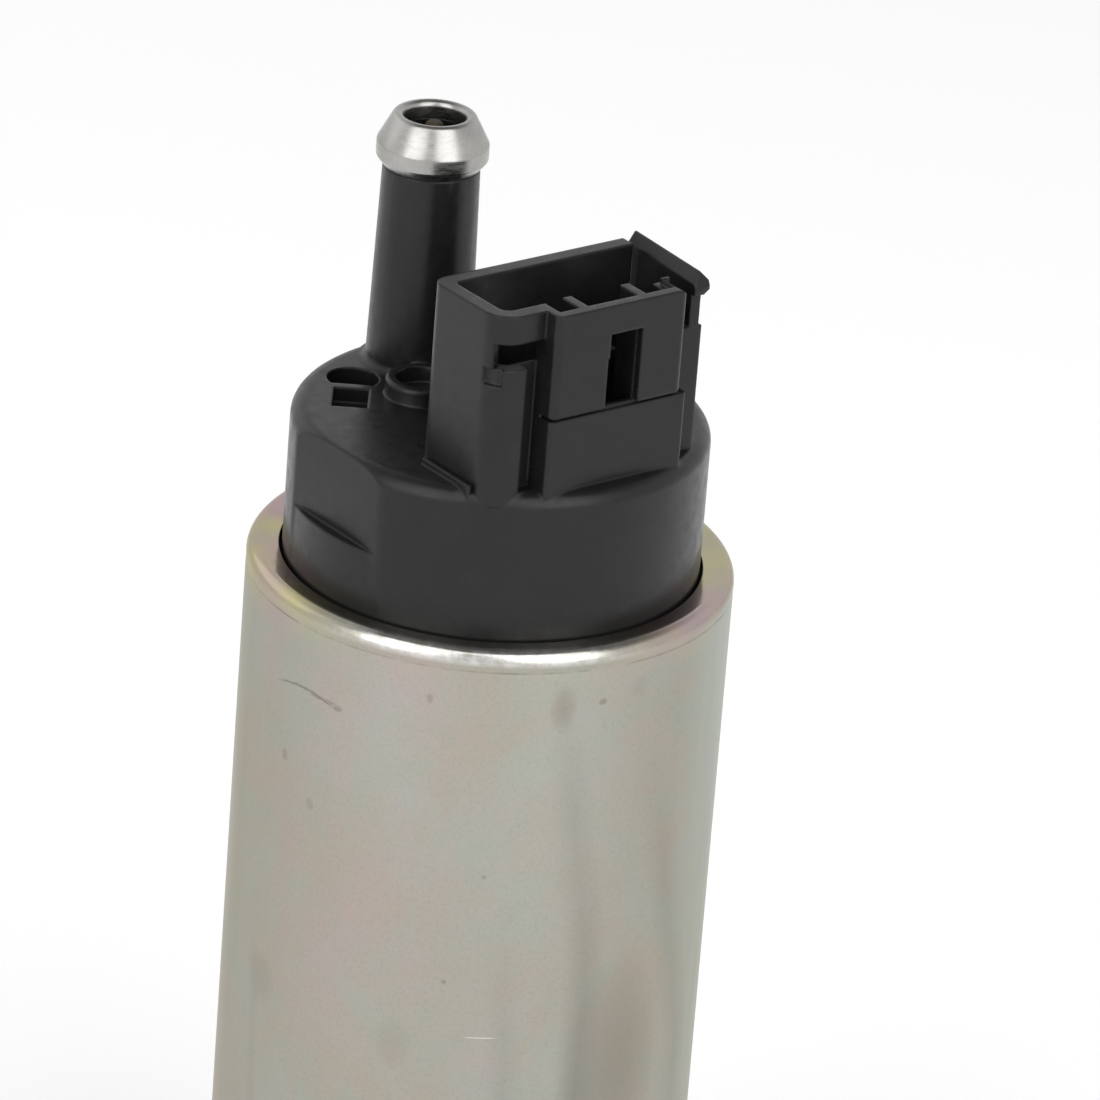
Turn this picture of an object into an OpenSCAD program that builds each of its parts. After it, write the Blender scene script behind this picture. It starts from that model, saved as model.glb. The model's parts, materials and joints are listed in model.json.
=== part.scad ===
// Electric fuel pump of the in-tank kind: a brushed motor and a lobed pump element in one
// steel can, with the suction nipple below and the outlet and plug socket on top.
// Z is the pump's axis and starts at the end of the suction nipple.
// The plug socket's long side runs along X and faces -Y, and the outlet tube stands at +Y.

/* [Housing can] */
// Outside diameter of the steel can
can_d = 39; // [38:0.5:44]
// Length of the can over its two rolled lips
can_len = 66; // [62:1:90]
// Thickness of the can's sheet
can_wall = 0.9; // [0.6:0.1:1]
// Outside radius of the can's rolled shoulders
shoulder_r = 1.1; // [1.1:0.1:1.8]
// Drop of each lip's inner edge from the crest
lip_dip = 0.25; // [0:0.05:0.6]
// Gap between the upper lip and the outlet cover's collar
lip_gap = 0.2; // [0.1:0.05:0.4]

/* [Suction side] */
// Outside diameter of the suction nipple
nipple_d = 11; // [9:0.5:14]
// Length of the suction nipple
nipple_len = 12; // [8:0.5:18]
// Bore of the suction nipple
nipple_bore = 7.2; // [5:0.2:7.6]
// Height of the casting's foot that shows below the can
foot_h = 2; // [1:0.5:4]
// Height of the suction casting inside the can
casting_h = 11; // [10:0.5:13]
// Height of the suction chamber in the casting
plenum_h = 4; // [3:0.5:4.5]

/* [Pump element] */
// Height of the two gears
gear_h = 6; // [4:0.5:8]
// Number of lobes in the outer gear, one more than the inner gear has
ring_lobes = 7; // [6:1:8]
// Distance between the axes of the two gears
gear_offset = 0.8; // [0.6:0.05:0.85]
// Radius of the circle that the outer gear's lobe centres lie on
lobe_circle_r = 8.6; // [8.4:0.1:9]
// Radius of one lobe of the outer gear
lobe_r = 3; // [2.6:0.1:3]
// Thickness of the outer gear's rim behind its roots
gear_rim = 3.2; // [2.4:0.2:4]
// Gap between the lobes of the two gears where they mesh
mesh_gap = 0.06; // [0.04:0.01:0.1]
// Thickness of the delivery port plate
plate_h = 4; // [3:0.5:5]
// Height of the bearing hub on the port plate
hub_h = 3; // [2:0.5:4]
// Diameter of the two dowel pins
dowel_d = 2.4; // [2:0.1:3]

/* [Motor] */
// Diameter of the motor shaft
shaft_d = 4.8; // [4:0.1:5.2]
// Wall of the two plain bearings
bush_wall = 1.5; // [1:0.1:1.8]
// Wall of the steel flux ring
flux_wall = 2; // [1.4:0.1:2.2]
// Thickness of the magnets
magnet_t = 2.3; // [1.8:0.1:2.6]
// Arc that each magnet covers, in degrees
magnet_arc = 132; // [110:2:140]
// Length of the magnets
magnet_len = 22; // [18:1:24]
// Gap between the magnets and the armature
air_gap = 0.6; // [0.5:0.1:1]
// Length of the armature's stack of sheets
core_len = 18; // [14:1:18]
// Number of armature slots and of commutator bars
slots = 8; // [6:1:10]
// Depth of the armature's slots
slot_deep = 6.4; // [5.6:0.1:6.6]
// Width of one armature tooth
tooth_w = 3.2; // [2.4:0.1:3.6]
// Distance from a brush to the rim of the flat commutator
commutator_rim = 0.8; // [0.5:0.1:1.2]
// Thickness of the commutator bars
bar_t = 1.6; // [1:0.1:2]

/* [Brushes] */
// Distance from the upper bearing's boss to a brush
brush_room = 0.4; // [0.3:0.1:0.6]
// Width of a brush, across the commutator bars
brush_w = 5; // [4:0.1:5.2]
// Length of a brush, along the commutator bars
brush_l = 6; // [5:0.1:6.4]
// Height of a new brush
brush_h = 9; // [7:0.5:10]
// Wall of the moulded brush guides
guide_wall = 1.2; // [1:0.1:1.4]
// Diameter of the wire in the brush springs
brush_wire = 0.5; // [0.4:0.05:0.6]

/* [Outlet cover] */
// Distance from the can's side to the side of the moulded collar above it
collar_inset = 2.8; // [2.6:0.1:3.2]
// Height of the collar above the can's crest
collar_h = 12.1; // [11:0.1:14]
// Thickness of the collar's side wall
collar_wall = 1.8; // [1.4:0.1:2]
// Thickness of the collar's roof
roof_t = 3.5; // [3.2:0.1:4.5]
// Rounding of the collar's top edge
collar_round = 1.3; // [0.6:0.1:1.6]
// Depth to which the cover reaches down into the can
cover_depth = 14; // [13:0.5:15]
// Depth of the flats in the collar's two sides
flat_depth = 0.9; // [0.5:0.1:1.1]
// Height of the flats' ledge above the can's crest
flat_ledge = 5.1; // [4:0.1:7]
// Distance of the roof pocket's middle from the collar's side
pocket_inset = 4; // [3.6:0.1:4.4]
// Depth of the roof pocket
pocket_deep = 2.4; // [1.5:0.1:2.6]

/* [Outlet tube] */
// Distance from the collar's side to the outlet tube's axis
tube_inset = 5.3; // [5:0.1:5.6]
// Height of the outlet above the can's crest
outlet_h = 33.3; // [30:0.1:40]
// Diameter of the tube at its foot
tube_foot_d = 8.5; // [8.2:0.1:9]
// Diameter of the tube under its metal tip
tube_top_d = 7.8; // [7.4:0.1:8.2]
// Bore of the tube, where the check valve lies
tube_bore = 5; // [4.6:0.1:5.2]
// Outside diameter of the metal tip
tip_d = 9; // [8.6:0.1:9.6]
// Height of the metal tip
tip_h = 4.3; // [3.8:0.1:5]
// Bore of the metal tip's mouth
tip_bore = 4.9; // [4.6:0.1:5.2]
// Diameter of the check valve's stem
stem_d = 1.4; // [1.2:0.1:1.6]
// Diameter of the wire in the check valve's spring
check_wire = 0.35; // [0.25:0.05:0.4]

/* [Relief valve] */
// Place of the relief valve along X
relief_x = -3.9; // [-4.1:0.1:-3.6]
// Distance of the relief valve from the outlet tube's axis along Y
relief_back = 5.9; // [5.7:0.1:6.1]
// Diameter of the relief valve's ball
ball_d = 3; // [2.6:0.1:3.2]
// Outside diameter of the raised ring around the relief outlet
ring_d = 5.9; // [5.6:0.1:6.1]
// Wall of the raised ring
ring_wall = 0.8; // [0.6:0.1:1]
// Height of the raised ring
ring_h = 1.5; // [1:0.1:2]

/* [Plug socket] */
// Height of the socket's rim above the collar
socket_h = 15; // [13:0.5:18]
// Place of the socket's left outer face along X
socket_left = -11.3; // [-11.5:0.1:-11]
// Place of the socket's back wall end along X
socket_right = 7.3; // [7:0.1:7.6]
// Distance from the collar's side to the socket's front face
front_inset = 1.55; // [1.4:0.05:1.8]
// Distance from the socket's front face to its back face
socket_run = 10.75; // [10.4:0.05:11]
// Depth by which the end bays stand back from the front face
bay_step = 1.55; // [1.3:0.05:1.8]
// Thickness of the socket's walls
socket_wall = 1.3; // [1.1:0.1:1.5]
// Thickness of the socket's front wall
front_wall = 0.9; // [0.8:0.1:1.3]
// Depth of the socket below its rim
socket_deep = 12; // [10:0.5:12.5]
// Left end of the full front wall along X
front_left = -6.9; // [-7.2:0.1:-6.6]
// Right end of the front wall along X
front_right = 5.7; // [5.4:0.1:6]
// Height of the front wall's lower, wider band above the collar
band_h = 6.4; // [5.5:0.1:7]
// Height of the posts in the end bays above the collar
post_h = 10.5; // [9.5:0.1:11]
// Width of the front window
window_w = 3.2; // [2.6:0.1:3.6]
// Height of the front window
window_h = 6.2; // [5:0.1:6.6]
// Thickness of the latch tongue at its neck
tongue_t = 0.9; // [0.8:0.1:1.1]
// Slit between the back wall and the latch tongue
tongue_gap = 0.7; // [0.5:0.1:0.9]
// Turn of the latch tongue in plan, in degrees
tongue_turn = 3.5; // [0:0.5:4]

/* [Terminals] */
// Width of a terminal blade
blade_w = 2.8; // [2.4:0.1:3.2]
// Thickness of a terminal blade
blade_t = 0.8; // [0.5:0.1:1]
// Distance between the two blades
blade_pitch = 7.6; // [7:0.1:8]
// Height of the blades above the socket's floor
blade_h = 5.2; // [4:0.1:6.4]

/* [Hidden] */
$fn = 96;
// Gap of a seated piece, of a running piece and of a sliding piece
seat = 0.03;
running = 0.03;
sliding = 0.1;

// Radii of the can and of what fills it
can_r = can_d / 2;
fill_r = can_r - can_wall - seat;
collar_r = can_r - collar_inset;
lip_r = collar_r + lip_gap;
edge_cut = shoulder_r - can_wall + 0.2;

// Heights of the stack, from the nipple's end up
z_can = nipple_len + foot_h;
z_rim = z_can + can_len;
z_casting = z_can + casting_h;
gear_play = 0.04;
z_plate = z_casting + gear_h + 2 * gear_play;
z_motor = z_plate + plate_h;
z_cover = z_rim - cover_depth;
bars_deep = 2.5;
z_bars = z_cover + bars_deep;
z_collar = z_rim + collar_h;
z_roof = z_collar - roof_t;
z_flange = z_rim - lip_dip - can_wall - seat;

// Pump element
inner_lobes = ring_lobes - 1;
root_r = lobe_circle_r - lobe_r + 2 * gear_offset + 0.1;
ring_gear_r = root_r + gear_rim;
port_in = lobe_circle_r - lobe_r - 1.2;
port_out = root_r - 0.4;
port_arc = 130;
dowel_x = (ring_gear_r + fill_r) / 2;

// Motor
shaft_r = shaft_d / 2;
bush_r = shaft_r + bush_wall;
flux_ri = fill_r - flux_wall;
magnet_ri = flux_ri - seat - magnet_t;
core_r = magnet_ri - air_gap;
wind_end = 3.6;
hub_disc_t = 1.6;
hub_wall = 2.2;
z_core = z_bars - bar_t - hub_disc_t - wind_end - 0.4 - core_len;
z_magnet = z_core + core_len / 2 - magnet_len / 2;
core_hub_r = core_r - slot_deep;
core_rim = 1.4;
slot_mouth = 1.8;
thrust_h = 2.4;
z_shaft = z_casting - thrust_h;
shaft_end = 9;
z_shaft_top = z_bars + shaft_end;

// Cover, brushes and springs
bush_h = 6.4;
z_bush = z_bars + 2;
guide_w = brush_w + 2 * sliding;
guide_l = brush_l + 2 * sliding;
z_guide = z_bars + 1.5;
z_brush = z_bars + running;
z_brush_top = z_brush + brush_h;
z_foot = z_roof - blade_t;
spring_gap = 0.05;
brush_spring_r = 1.9;
boss_r = bush_r + 1.4;
brush_x = boss_r + brush_room + brush_w / 2;
commutator_r = brush_x + brush_w / 2 + commutator_rim;

// Outlet
tube_y = collar_r - tube_inset;
z_tip = z_rim + outlet_h;
z_tip_foot = z_tip - tip_h;
seat_h = 4;
z_seat = z_collar + seat_h;
seat_hole_r = 1.8;
seat_cone = 1;
neck_r = tube_top_d / 2 - 0.45;
neck_top = 1.4;
stem_top = z_tip - 0.7;
head_h = 2.4;
check_spring_r = 1.35;
guide_h = 1.6;
guide_sink = 0.6;
z_stem_guide = z_tip_foot - guide_sink;

// Relief valve
relief_y = tube_y - relief_back;
relief_r = ball_d / 2 + sliding;
relief_hole_r = 1.15;
relief_wall = 1.3;
relief_boss_r = relief_r + relief_wall;
relief_deep = 8.4;
z_relief = z_roof - relief_deep;
seat_t = 2;
ball_seat_r = 0.95;
z_ball = z_relief + seat_t + sqrt(pow(ball_d / 2, 2) - pow(ball_seat_r, 2)) + running;
z_relief_top = z_collar - 0.6;
relief_wire = 0.4;

// Plug socket
z_socket = z_collar + socket_h;
z_floor = z_socket - socket_deep;
z_post = z_collar + post_h;
socket_front = front_inset - collar_r;
socket_back = socket_front + socket_run;
bay_face = socket_front + bay_step;
tongue_in = socket_right + tongue_gap;
tongue_out = tongue_in + tongue_t;
post_face = bay_face + 0.7;
near_round = 2.2;
blade_mid_x = (socket_left + socket_wall + tongue_in) / 2;
blade_y = (bay_face + socket_back) / 2;
z_blade = z_floor + blade_h;
pad_r = brush_spring_r + brush_wire / 2 + 0.15;

// Points of an arc about (cx, cy) from angle a to angle b
function arc(cx, cy, r, a, b, n = 8) =
    [for (i = [0:n]) let (t = a + (b - a) * i / n) [cx + r * cos(t), cy + r * sin(t)]];

// Path of an outer lobe's centre as the inner gear sees it, and the inner gear's flank
function lobe_path(t) = [lobe_circle_r * cos(t) - gear_offset * cos(ring_lobes * t),
    lobe_circle_r * sin(t) - gear_offset * sin(ring_lobes * t)];
function lobe_step(t) = [ring_lobes * gear_offset * sin(ring_lobes * t) - lobe_circle_r * sin(t),
    lobe_circle_r * cos(t) - ring_lobes * gear_offset * cos(ring_lobes * t)];
function flank(t) = let (p = lobe_path(t), d = lobe_step(t))
    p + (lobe_r + mesh_gap) * [-d[1], d[0]] / norm(d);

// Rings of a coil spring's wire, with close turns at both ends
function coil_height(s, turns, h, wire) = let (dead = 1)
    s < dead ? wire * s :
    s > turns - dead ? h - wire - wire * (turns - s) :
    wire * dead + (h - wire - 2 * wire * dead) * (s - dead) / (turns - 2 * dead);
function coil_ring(s, turns, h, r, wire, sides) = let (a = 360 * s, z = coil_height(s, turns, h, wire))
    [for (j = [0:sides - 1]) let (b = 360 * j / sides, q = r + wire / 2 * cos(b))
        [q * cos(a), q * sin(a), wire / 2 + z + wire / 2 * sin(b)]];

// A coil spring of round wire, standing on z = 0
module coil_spring(turns, h, r, wire, steps = 14, sides = 6) {
    count = turns * steps;
    rings = [for (i = [0:count]) coil_ring(i / steps, turns, h, r, wire, sides)];
    points = [for (ring = rings) for (p = ring) p];
    walls = [for (i = [0:count - 1]) for (j = [0:sides - 1]) let (k = (j + 1) % sides)
        [i * sides + j, (i + 1) * sides + j, (i + 1) * sides + k, i * sides + k]];
    start = [for (j = [0:sides - 1]) j];
    finish = [for (j = [sides - 1:-1:0]) count * sides + j];
    polyhedron(points, concat(walls, [start], [finish]));
}

// A round tube standing on z = 0
module tube(r_out, r_in, h) {
    difference() {
        cylinder(r = r_out, h = h);
        translate([0, 0, -1]) cylinder(r = r_in, h = h + 2);
    }
}

// A block given by its low and high corners
module block(low, high) {
    translate(low) cube(high - low);
}

// A curved port about the pump's axis, centred on the direction mid
module kidney(mid, h) {
    rotate([0, 0, mid - port_arc / 2]) rotate_extrude(angle = port_arc)
        translate([port_in, 0]) square([port_out - port_in, h]);
}

// Drawn and rolled steel can
module housing_can() {
    inner = shoulder_r - can_wall;
    mid_r = can_r - shoulder_r;
    outline = concat(
        [[lip_r, z_can + lip_dip]],
        arc(mid_r, z_can + shoulder_r, shoulder_r, -90, 0),
        arc(mid_r, z_rim - shoulder_r, shoulder_r, 0, 90),
        [[lip_r, z_rim - lip_dip], [lip_r, z_rim - lip_dip - can_wall]],
        arc(mid_r, z_rim - shoulder_r, inner, 90, 0),
        arc(mid_r, z_can + shoulder_r, inner, 0, -90),
        [[lip_r, z_can + lip_dip + can_wall]]);
    color("silver") rotate_extrude() polygon(outline);
}

// Suction casting with its nipple, chamber and port
seal_wire = 1.8;
z_seal = z_can + casting_h / 2;
module suction_casting() {
    shelf = z_can + lip_dip + can_wall + seat;
    chamfer = 0.6;
    foot_r = lip_r - lip_gap;
    outline = concat(
        [[0, 0], [nipple_d / 2 - chamfer, 0], [nipple_d / 2, chamfer]],
        arc(nipple_d / 2 + 1, nipple_len - 1, 1, 180, 90, 5),
        [[foot_r - chamfer, nipple_len], [foot_r, nipple_len + chamfer], [foot_r, shelf],
         [fill_r - edge_cut, shelf], [fill_r, shelf + edge_cut],
         [fill_r, z_seal - seal_wire / 2], [fill_r - seal_wire, z_seal - seal_wire / 2],
         [fill_r - seal_wire, z_seal + seal_wire / 2], [fill_r, z_seal + seal_wire / 2],
         [fill_r, z_casting], [0, z_casting]]);
    color("darkgray") difference() {
        rotate_extrude() polygon(outline);
        translate([0, 0, -1]) cylinder(d = nipple_bore, h = z_can + 1.01);
        translate([0, 0, z_can]) cylinder(r = port_out, h = plenum_h);
        translate([0, 0, z_can + plenum_h - 0.01]) kidney(90, casting_h);
        translate([0, 0, z_shaft - pad_t]) cylinder(r = shaft_r + running, h = casting_h);
        dowel_bores();
    }
}

// Bores for the two dowels that line up the pump's plates
dowel_deep = 3;
module dowel_bores() {
    for (s = [-1, 1]) translate([s * dowel_x, 0, z_casting - dowel_deep])
        cylinder(d = dowel_d + 2 * seat, h = gear_h + 2 * gear_play + 2 * dowel_deep, $fn = 32);
}

// Rubber ring between the casting and the can
module can_seal_ring() {
    color("black") translate([0, 0, z_seal]) rotate_extrude()
        translate([fill_r - seal_wire / 2, 0]) circle(d = seal_wire - 2 * seat, $fn = 24);
}

// Hard pad that carries the shaft's lower end
pad_t = 1;
module thrust_pad() {
    color("gold") translate([0, 0, z_shaft - pad_t + seat])
        cylinder(r = shaft_r - seat, h = pad_t - 2 * seat);
}

// Ring that holds the outer gear off centre
module pump_ring() {
    color("slategray") difference() {
        translate([0, 0, z_casting]) cylinder(r = fill_r, h = z_plate - z_casting);
        translate([-gear_offset, 0, z_casting - 1])
            cylinder(r = ring_gear_r + running, h = z_plate - z_casting + 2);
        dowel_bores();
    }
}

// Outer gear with round lobes
module outer_gear() {
    color("dimgray") translate([-gear_offset, 0, z_casting + gear_play]) difference() {
        cylinder(r = ring_gear_r, h = gear_h);
        translate([0, 0, -1]) linear_extrude(gear_h + 2) difference() {
            circle(r = root_r);
            for (i = [0:ring_lobes - 1]) rotate(i * 360 / ring_lobes)
                translate([lobe_circle_r, 0]) circle(r = lobe_r, $fn = 64);
        }
    }
}

// Inner gear, cut as the path that the outer lobes leave
module inner_gear() {
    steps = 28 * inner_lobes;
    color("gray") translate([0, 0, z_casting + gear_play]) difference() {
        linear_extrude(gear_h) polygon([for (i = [0:steps - 1]) flank(i * 360 / steps)]);
        translate([0, 0, -1]) drive_end(gear_h + 2, seat);
    }
}

// Shaft end with one flat, which turns the inner gear
module drive_end(h, gap) {
    flat = shaft_r * 0.7;
    difference() {
        cylinder(r = shaft_r + gap, h = h);
        translate([flat + gap, -shaft_d, -1]) cube([shaft_d, 2 * shaft_d, h + 2]);
    }
}

// Delivery plate with its port and bearing hub
module port_plate() {
    hub_r = bush_r + 1.6;
    color("darkslategray") difference() {
        union() {
            translate([0, 0, z_plate]) cylinder(r = fill_r, h = plate_h);
            translate([0, 0, z_motor - 0.01]) cylinder(r = hub_r, h = hub_h + 0.01);
        }
        translate([0, 0, z_plate - 1]) cylinder(r = bush_r + seat, h = plate_h + hub_h + 2);
        translate([0, 0, z_plate - 1]) kidney(-90, plate_h + 2);
        translate([0, 0, z_motor - 1.2]) tube(flux_ri - 1, hub_r + 1, 2);
        dowel_bores();
    }
}

module lower_bearing() {
    color("peru") translate([0, 0, z_plate + gear_play])
        tube(bush_r, shaft_r + running, plate_h + hub_h - gear_play);
}

module pump_dowels() {
    color("lightgray") for (s = [-1, 1]) translate([s * dowel_x, 0, z_casting - dowel_deep + seat])
        cylinder(d = dowel_d, h = gear_h + 2 * gear_play + 2 * dowel_deep - 2 * seat, $fn = 32);
}

// Steel ring that carries the magnets
module flux_ring() {
    color("dimgray") translate([0, 0, z_motor]) tube(fill_r, flux_ri, z_cover - z_motor);
}

// One curved magnet, centred on the direction mid
module magnet(mid) {
    edge = 0.4;
    r_out = flux_ri - seat;
    translate([0, 0, z_magnet]) rotate([0, 0, mid - magnet_arc / 2])
        rotate_extrude(angle = magnet_arc)
            polygon([[magnet_ri + edge, 0], [r_out, 0], [r_out, magnet_len],
                [magnet_ri + edge, magnet_len], [magnet_ri, magnet_len - edge],
                [magnet_ri, edge]]);
}

module magnet_left() { color("#3a3a3e") magnet(180); }

module magnet_right() { color("#3a3a3e") magnet(0); }

// Two sprung steel clips that press the magnets apart
clip_t = 0.5;
module magnet_clips() {
    gap_arc = 180 - magnet_arc;
    slack = asin(2 * seat / magnet_ri);
    leg_arc = asin(clip_t / magnet_ri);
    color("silver") for (mid = [90, 270])
        translate([0, 0, z_magnet + 1]) rotate([0, 0, mid - gap_arc / 2 + slack]) {
            rotate_extrude(angle = gap_arc - 2 * slack)
                translate([flux_ri - seat - clip_t, 0]) square([clip_t, magnet_len - 2]);
            for (a = [0, gap_arc - 2 * slack - leg_arc]) rotate([0, 0, a])
                rotate_extrude(angle = leg_arc)
                    translate([magnet_ri + 0.4, 0]) square([magnet_t - 0.4, magnet_len - 2]);
        }
}

// Ground steel shaft with the flat that drives the inner gear
module motor_shaft() {
    chamfer = 0.4;
    gear_top = z_plate - gear_play;
    color("lightgray") {
        translate([0, 0, z_shaft]) cylinder(r1 = shaft_r - chamfer, r2 = shaft_r, h = chamfer);
        difference() {
            translate([0, 0, z_shaft + chamfer])
                cylinder(r = shaft_r, h = z_shaft_top - z_shaft - 2 * chamfer);
            translate([0, 0, z_casting - 0.1]) difference() {
                cylinder(r = shaft_d, h = gear_top - z_casting + 0.1);
                translate([0, 0, -1]) drive_end(gear_top - z_casting + 2.2, 0);
            }
        }
        translate([0, 0, z_shaft_top - chamfer])
            cylinder(r1 = shaft_r, r2 = shaft_r - chamfer, h = chamfer);
    }
}

// Outline of the armature's teeth, grown by the given gap
module teeth(reach, gap) {
    for (i = [0:slots - 1]) rotate(i * 360 / slots)
        translate([0, -tooth_w / 2 - gap]) square([reach, tooth_w + 2 * gap]);
}

// Stack of slotted steel sheets
module armature_core() {
    color("#777b80") translate([0, 0, z_core]) linear_extrude(core_len) difference() {
        union() {
            circle(r = core_hub_r);
            teeth(core_r - core_rim / 2, 0);
            difference() {
                circle(r = core_r);
                circle(r = core_r - core_rim);
                for (i = [0:slots - 1]) rotate((i + 0.5) * 360 / slots)
                    translate([0, -slot_mouth / 2]) square([core_r + 1, slot_mouth]);
            }
        }
        circle(r = shaft_r + seat);
    }
}

// Enamelled wire in the slots and its turned ends
module armature_windings() {
    wire_r = core_r - core_rim - seat;
    slot_gap = 0.15;
    in_r = core_hub_r + slot_gap;
    color("chocolate") {
        translate([0, 0, z_core - slot_gap - 0.1])
            linear_extrude(core_len + 2 * slot_gap + 0.2) difference() {
                circle(r = wire_r - slot_gap);
                circle(r = in_r);
                teeth(core_r, slot_gap);
            }
        translate([0, 0, z_core + core_len + slot_gap])
            winding_end(in_r - 1.4, wire_r - slot_gap);
        translate([0, 0, z_core - slot_gap]) mirror([0, 0, 1])
            winding_end(in_r - 1.4, wire_r - slot_gap);
    }
}

// The bundle of turned wires at one end, with a furrow between each pair of coils
module winding_end(r_in, r_out) {
    bulge = 1.2;
    h = wind_end - 0.3;
    difference() {
        rotate_extrude() polygon(concat(
            [[r_in, 0], [r_out, 0]],
            arc(r_out - bulge, h - bulge, bulge, 0, 90, 6),
            arc(r_in + bulge, h - bulge, bulge, 90, 180, 6)));
        for (i = [0:slots - 1]) rotate([0, 0, (i + 0.5) * 360 / slots])
            translate([0, 0, h + 0.6]) rotate([0, 90, 0]) cylinder(r = 1.3, h = r_out + 1, $fn = 24);
    }
}

// Moulded disc that carries the commutator bars
module commutator_hub() {
    rim = 0.3;
    h = hub_disc_t + bar_t - 0.2;
    color("saddlebrown") translate([0, 0, z_bars - bar_t - hub_disc_t]) difference() {
        union() {
            cylinder(r = commutator_r - rim, h = hub_disc_t);
            cylinder(r = shaft_r + hub_wall, h = h);
        }
        translate([0, 0, -1]) cylinder(r = shaft_r + seat, h = h + 2);
    }
}

// Flat bars that the brushes rub on
module commutator_bars() {
    slit = 0.6;
    color("#b87333") translate([0, 0, z_bars - bar_t]) difference() {
        tube(commutator_r, shaft_r + hub_wall + seat, bar_t);
        for (i = [0:slots - 1]) rotate([0, 0, (i + 0.5) * 360 / slots])
            translate([0, -slit / 2, -1]) cube([commutator_r + 1, slit, bar_t + 2]);
    }
}

module upper_bearing() {
    color("peru") translate([0, 0, z_bush + seat]) tube(bush_r, shaft_r + running, bush_h);
}

// Collar, flange and skirt of the cover as one turned form
module cover_body() {
    groove_low = z_flange - 4;
    groove_high = groove_low + seal_wire;
    foot_fillet = 0.4;
    outline = concat(
        [[collar_r - collar_wall, z_cover], [fill_r, z_cover], [fill_r, groove_low],
         [fill_r - seal_wire, groove_low], [fill_r - seal_wire, groove_high],
         [fill_r, groove_high], [fill_r, z_flange - edge_cut], [fill_r - edge_cut, z_flange]],
        arc(collar_r + foot_fillet, z_flange + foot_fillet, foot_fillet, -90, -180, 4),
        arc(collar_r - collar_round, z_collar - collar_round, collar_round, 0, 90, 6),
        [[0, z_collar], [0, z_roof], [collar_r - collar_wall, z_roof]]);
    rotate_extrude() polygon(outline);
}

// Outside of the outlet tube, with its small foot fillet and its neck for the tip
module tube_body() {
    foot_r = tube_foot_d / 2;
    fillet = 0.7;
    outline = concat(
        [[0, z_collar - 1], [foot_r + fillet, z_collar - 1], [foot_r + fillet, z_collar]],
        arc(foot_r + fillet, z_collar + fillet, fillet, -90, -180, 5),
        [[tube_top_d / 2, z_tip_foot - seat], [neck_r, z_tip_foot - seat],
         [neck_r, z_tip - neck_top], [0, z_tip - neck_top]]);
    translate([0, tube_y, 0]) rotate_extrude() polygon(outline);
}

// Bore of the outlet tube, with the check valve's cone seat at its foot
module tube_passage() {
    outline = [[0, z_roof - 1], [seat_hole_r, z_roof - 1], [seat_hole_r, z_seat],
        [tube_bore / 2, z_seat + seat_cone], [tube_bore / 2, z_tip], [0, z_tip]];
    translate([0, tube_y, 0]) rotate_extrude() polygon(outline);
}

// Raised ring around the relief outlet, and the boss below the roof that holds the valve
module relief_body() {
    ring_r = ring_d / 2;
    round_r = 0.35;
    translate([relief_x, relief_y, 0]) {
        rotate_extrude() polygon(concat([[0, z_collar - 1], [ring_r, z_collar - 1]],
            arc(ring_r - round_r, z_collar + ring_h - round_r, round_r, 0, 90, 5),
            [[0, z_collar + ring_h]]));
        translate([0, 0, z_relief]) cylinder(r = relief_boss_r, h = z_collar - z_relief - 1);
    }
}

// What the flats take from the collar's two sides
module side_flats() {
    flat_x = collar_r - flat_depth;
    half = sqrt(pow(collar_r, 2) - pow(flat_x, 2)) + 1;
    for (s = [-1, 1]) translate([s * (flat_x + flat_depth), 0, 0])
        block([-flat_depth, -half, z_rim + flat_ledge], [flat_depth, half, z_collar + 1]);
}

module relief_passage() {
    translate([relief_x, relief_y, 0]) {
        translate([0, 0, z_relief - 1]) cylinder(r = relief_r, h = z_relief_top - z_relief + 1);
        cylinder(r = relief_hole_r, h = z_collar + ring_h + 1);
        translate([0, 0, z_collar + 0.1]) cylinder(r = ring_d / 2 - ring_wall, h = ring_h + 1);
    }
}

// Guides for the brushes and the boss for the upper bearing, hung from the roof
module inner_bosses() {
    gw = guide_w / 2 + guide_wall;
    gl = guide_l / 2 + guide_wall;
    translate([0, 0, z_bush]) cylinder(r = boss_r, h = z_roof - z_bush + 0.01);
    for (s = [-1, 1]) translate([s * brush_x, 0, 0])
        block([-gw, -gl, z_guide], [gw, gl, z_roof + 0.01]);
}

module inner_hollows() {
    translate([0, 0, z_bush - 1]) cylinder(r = bush_r + seat, h = bush_h + 1 + 2 * seat);
    translate([0, 0, z_bush]) cylinder(r = shaft_r + 0.6, h = bush_h + 3);
    for (s = [-1, 1]) translate([s * brush_x, 0, 0])
        block([-guide_w / 2, -guide_l / 2, z_guide - 1], [guide_w / 2, guide_l / 2, z_foot]);
}

// Half round pocket in the roof, with a shallower tray in front of it
module roof_pocket() {
    place = 123;
    facing = -38;
    pocket_r = 2.1;
    flat = 1.25;
    tray = [2.8, 3.8, 1.3];
    lip = 0.8;
    rotate([0, 0, place]) translate([collar_r - pocket_inset, 0, z_collar])
        rotate([0, 0, facing - place]) {
            difference() {
                translate([0, 0, -pocket_deep]) cylinder(r = pocket_r, h = pocket_deep + 1);
                block([-pocket_r - 1, -2 * pocket_r - flat, -pocket_deep - 1],
                    [pocket_r + 1, -flat, 2]);
            }
            block([-tray[0] / 2, -flat - lip - tray[1], -tray[2]],
                [tray[0] / 2, -flat - lip, 1]);
        }
}

// Plan of a block with one rounding at its front left corner and one at its back left
module round_left(low, high, near, far) {
    polygon(concat([[high[0], low[1]], [high[0], high[1]]],
        arc(low[0] + far, high[1] - far, far, 90, 180, 5),
        arc(low[0] + near, low[1] + near, near, 180, 270, 8)));
}

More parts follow.
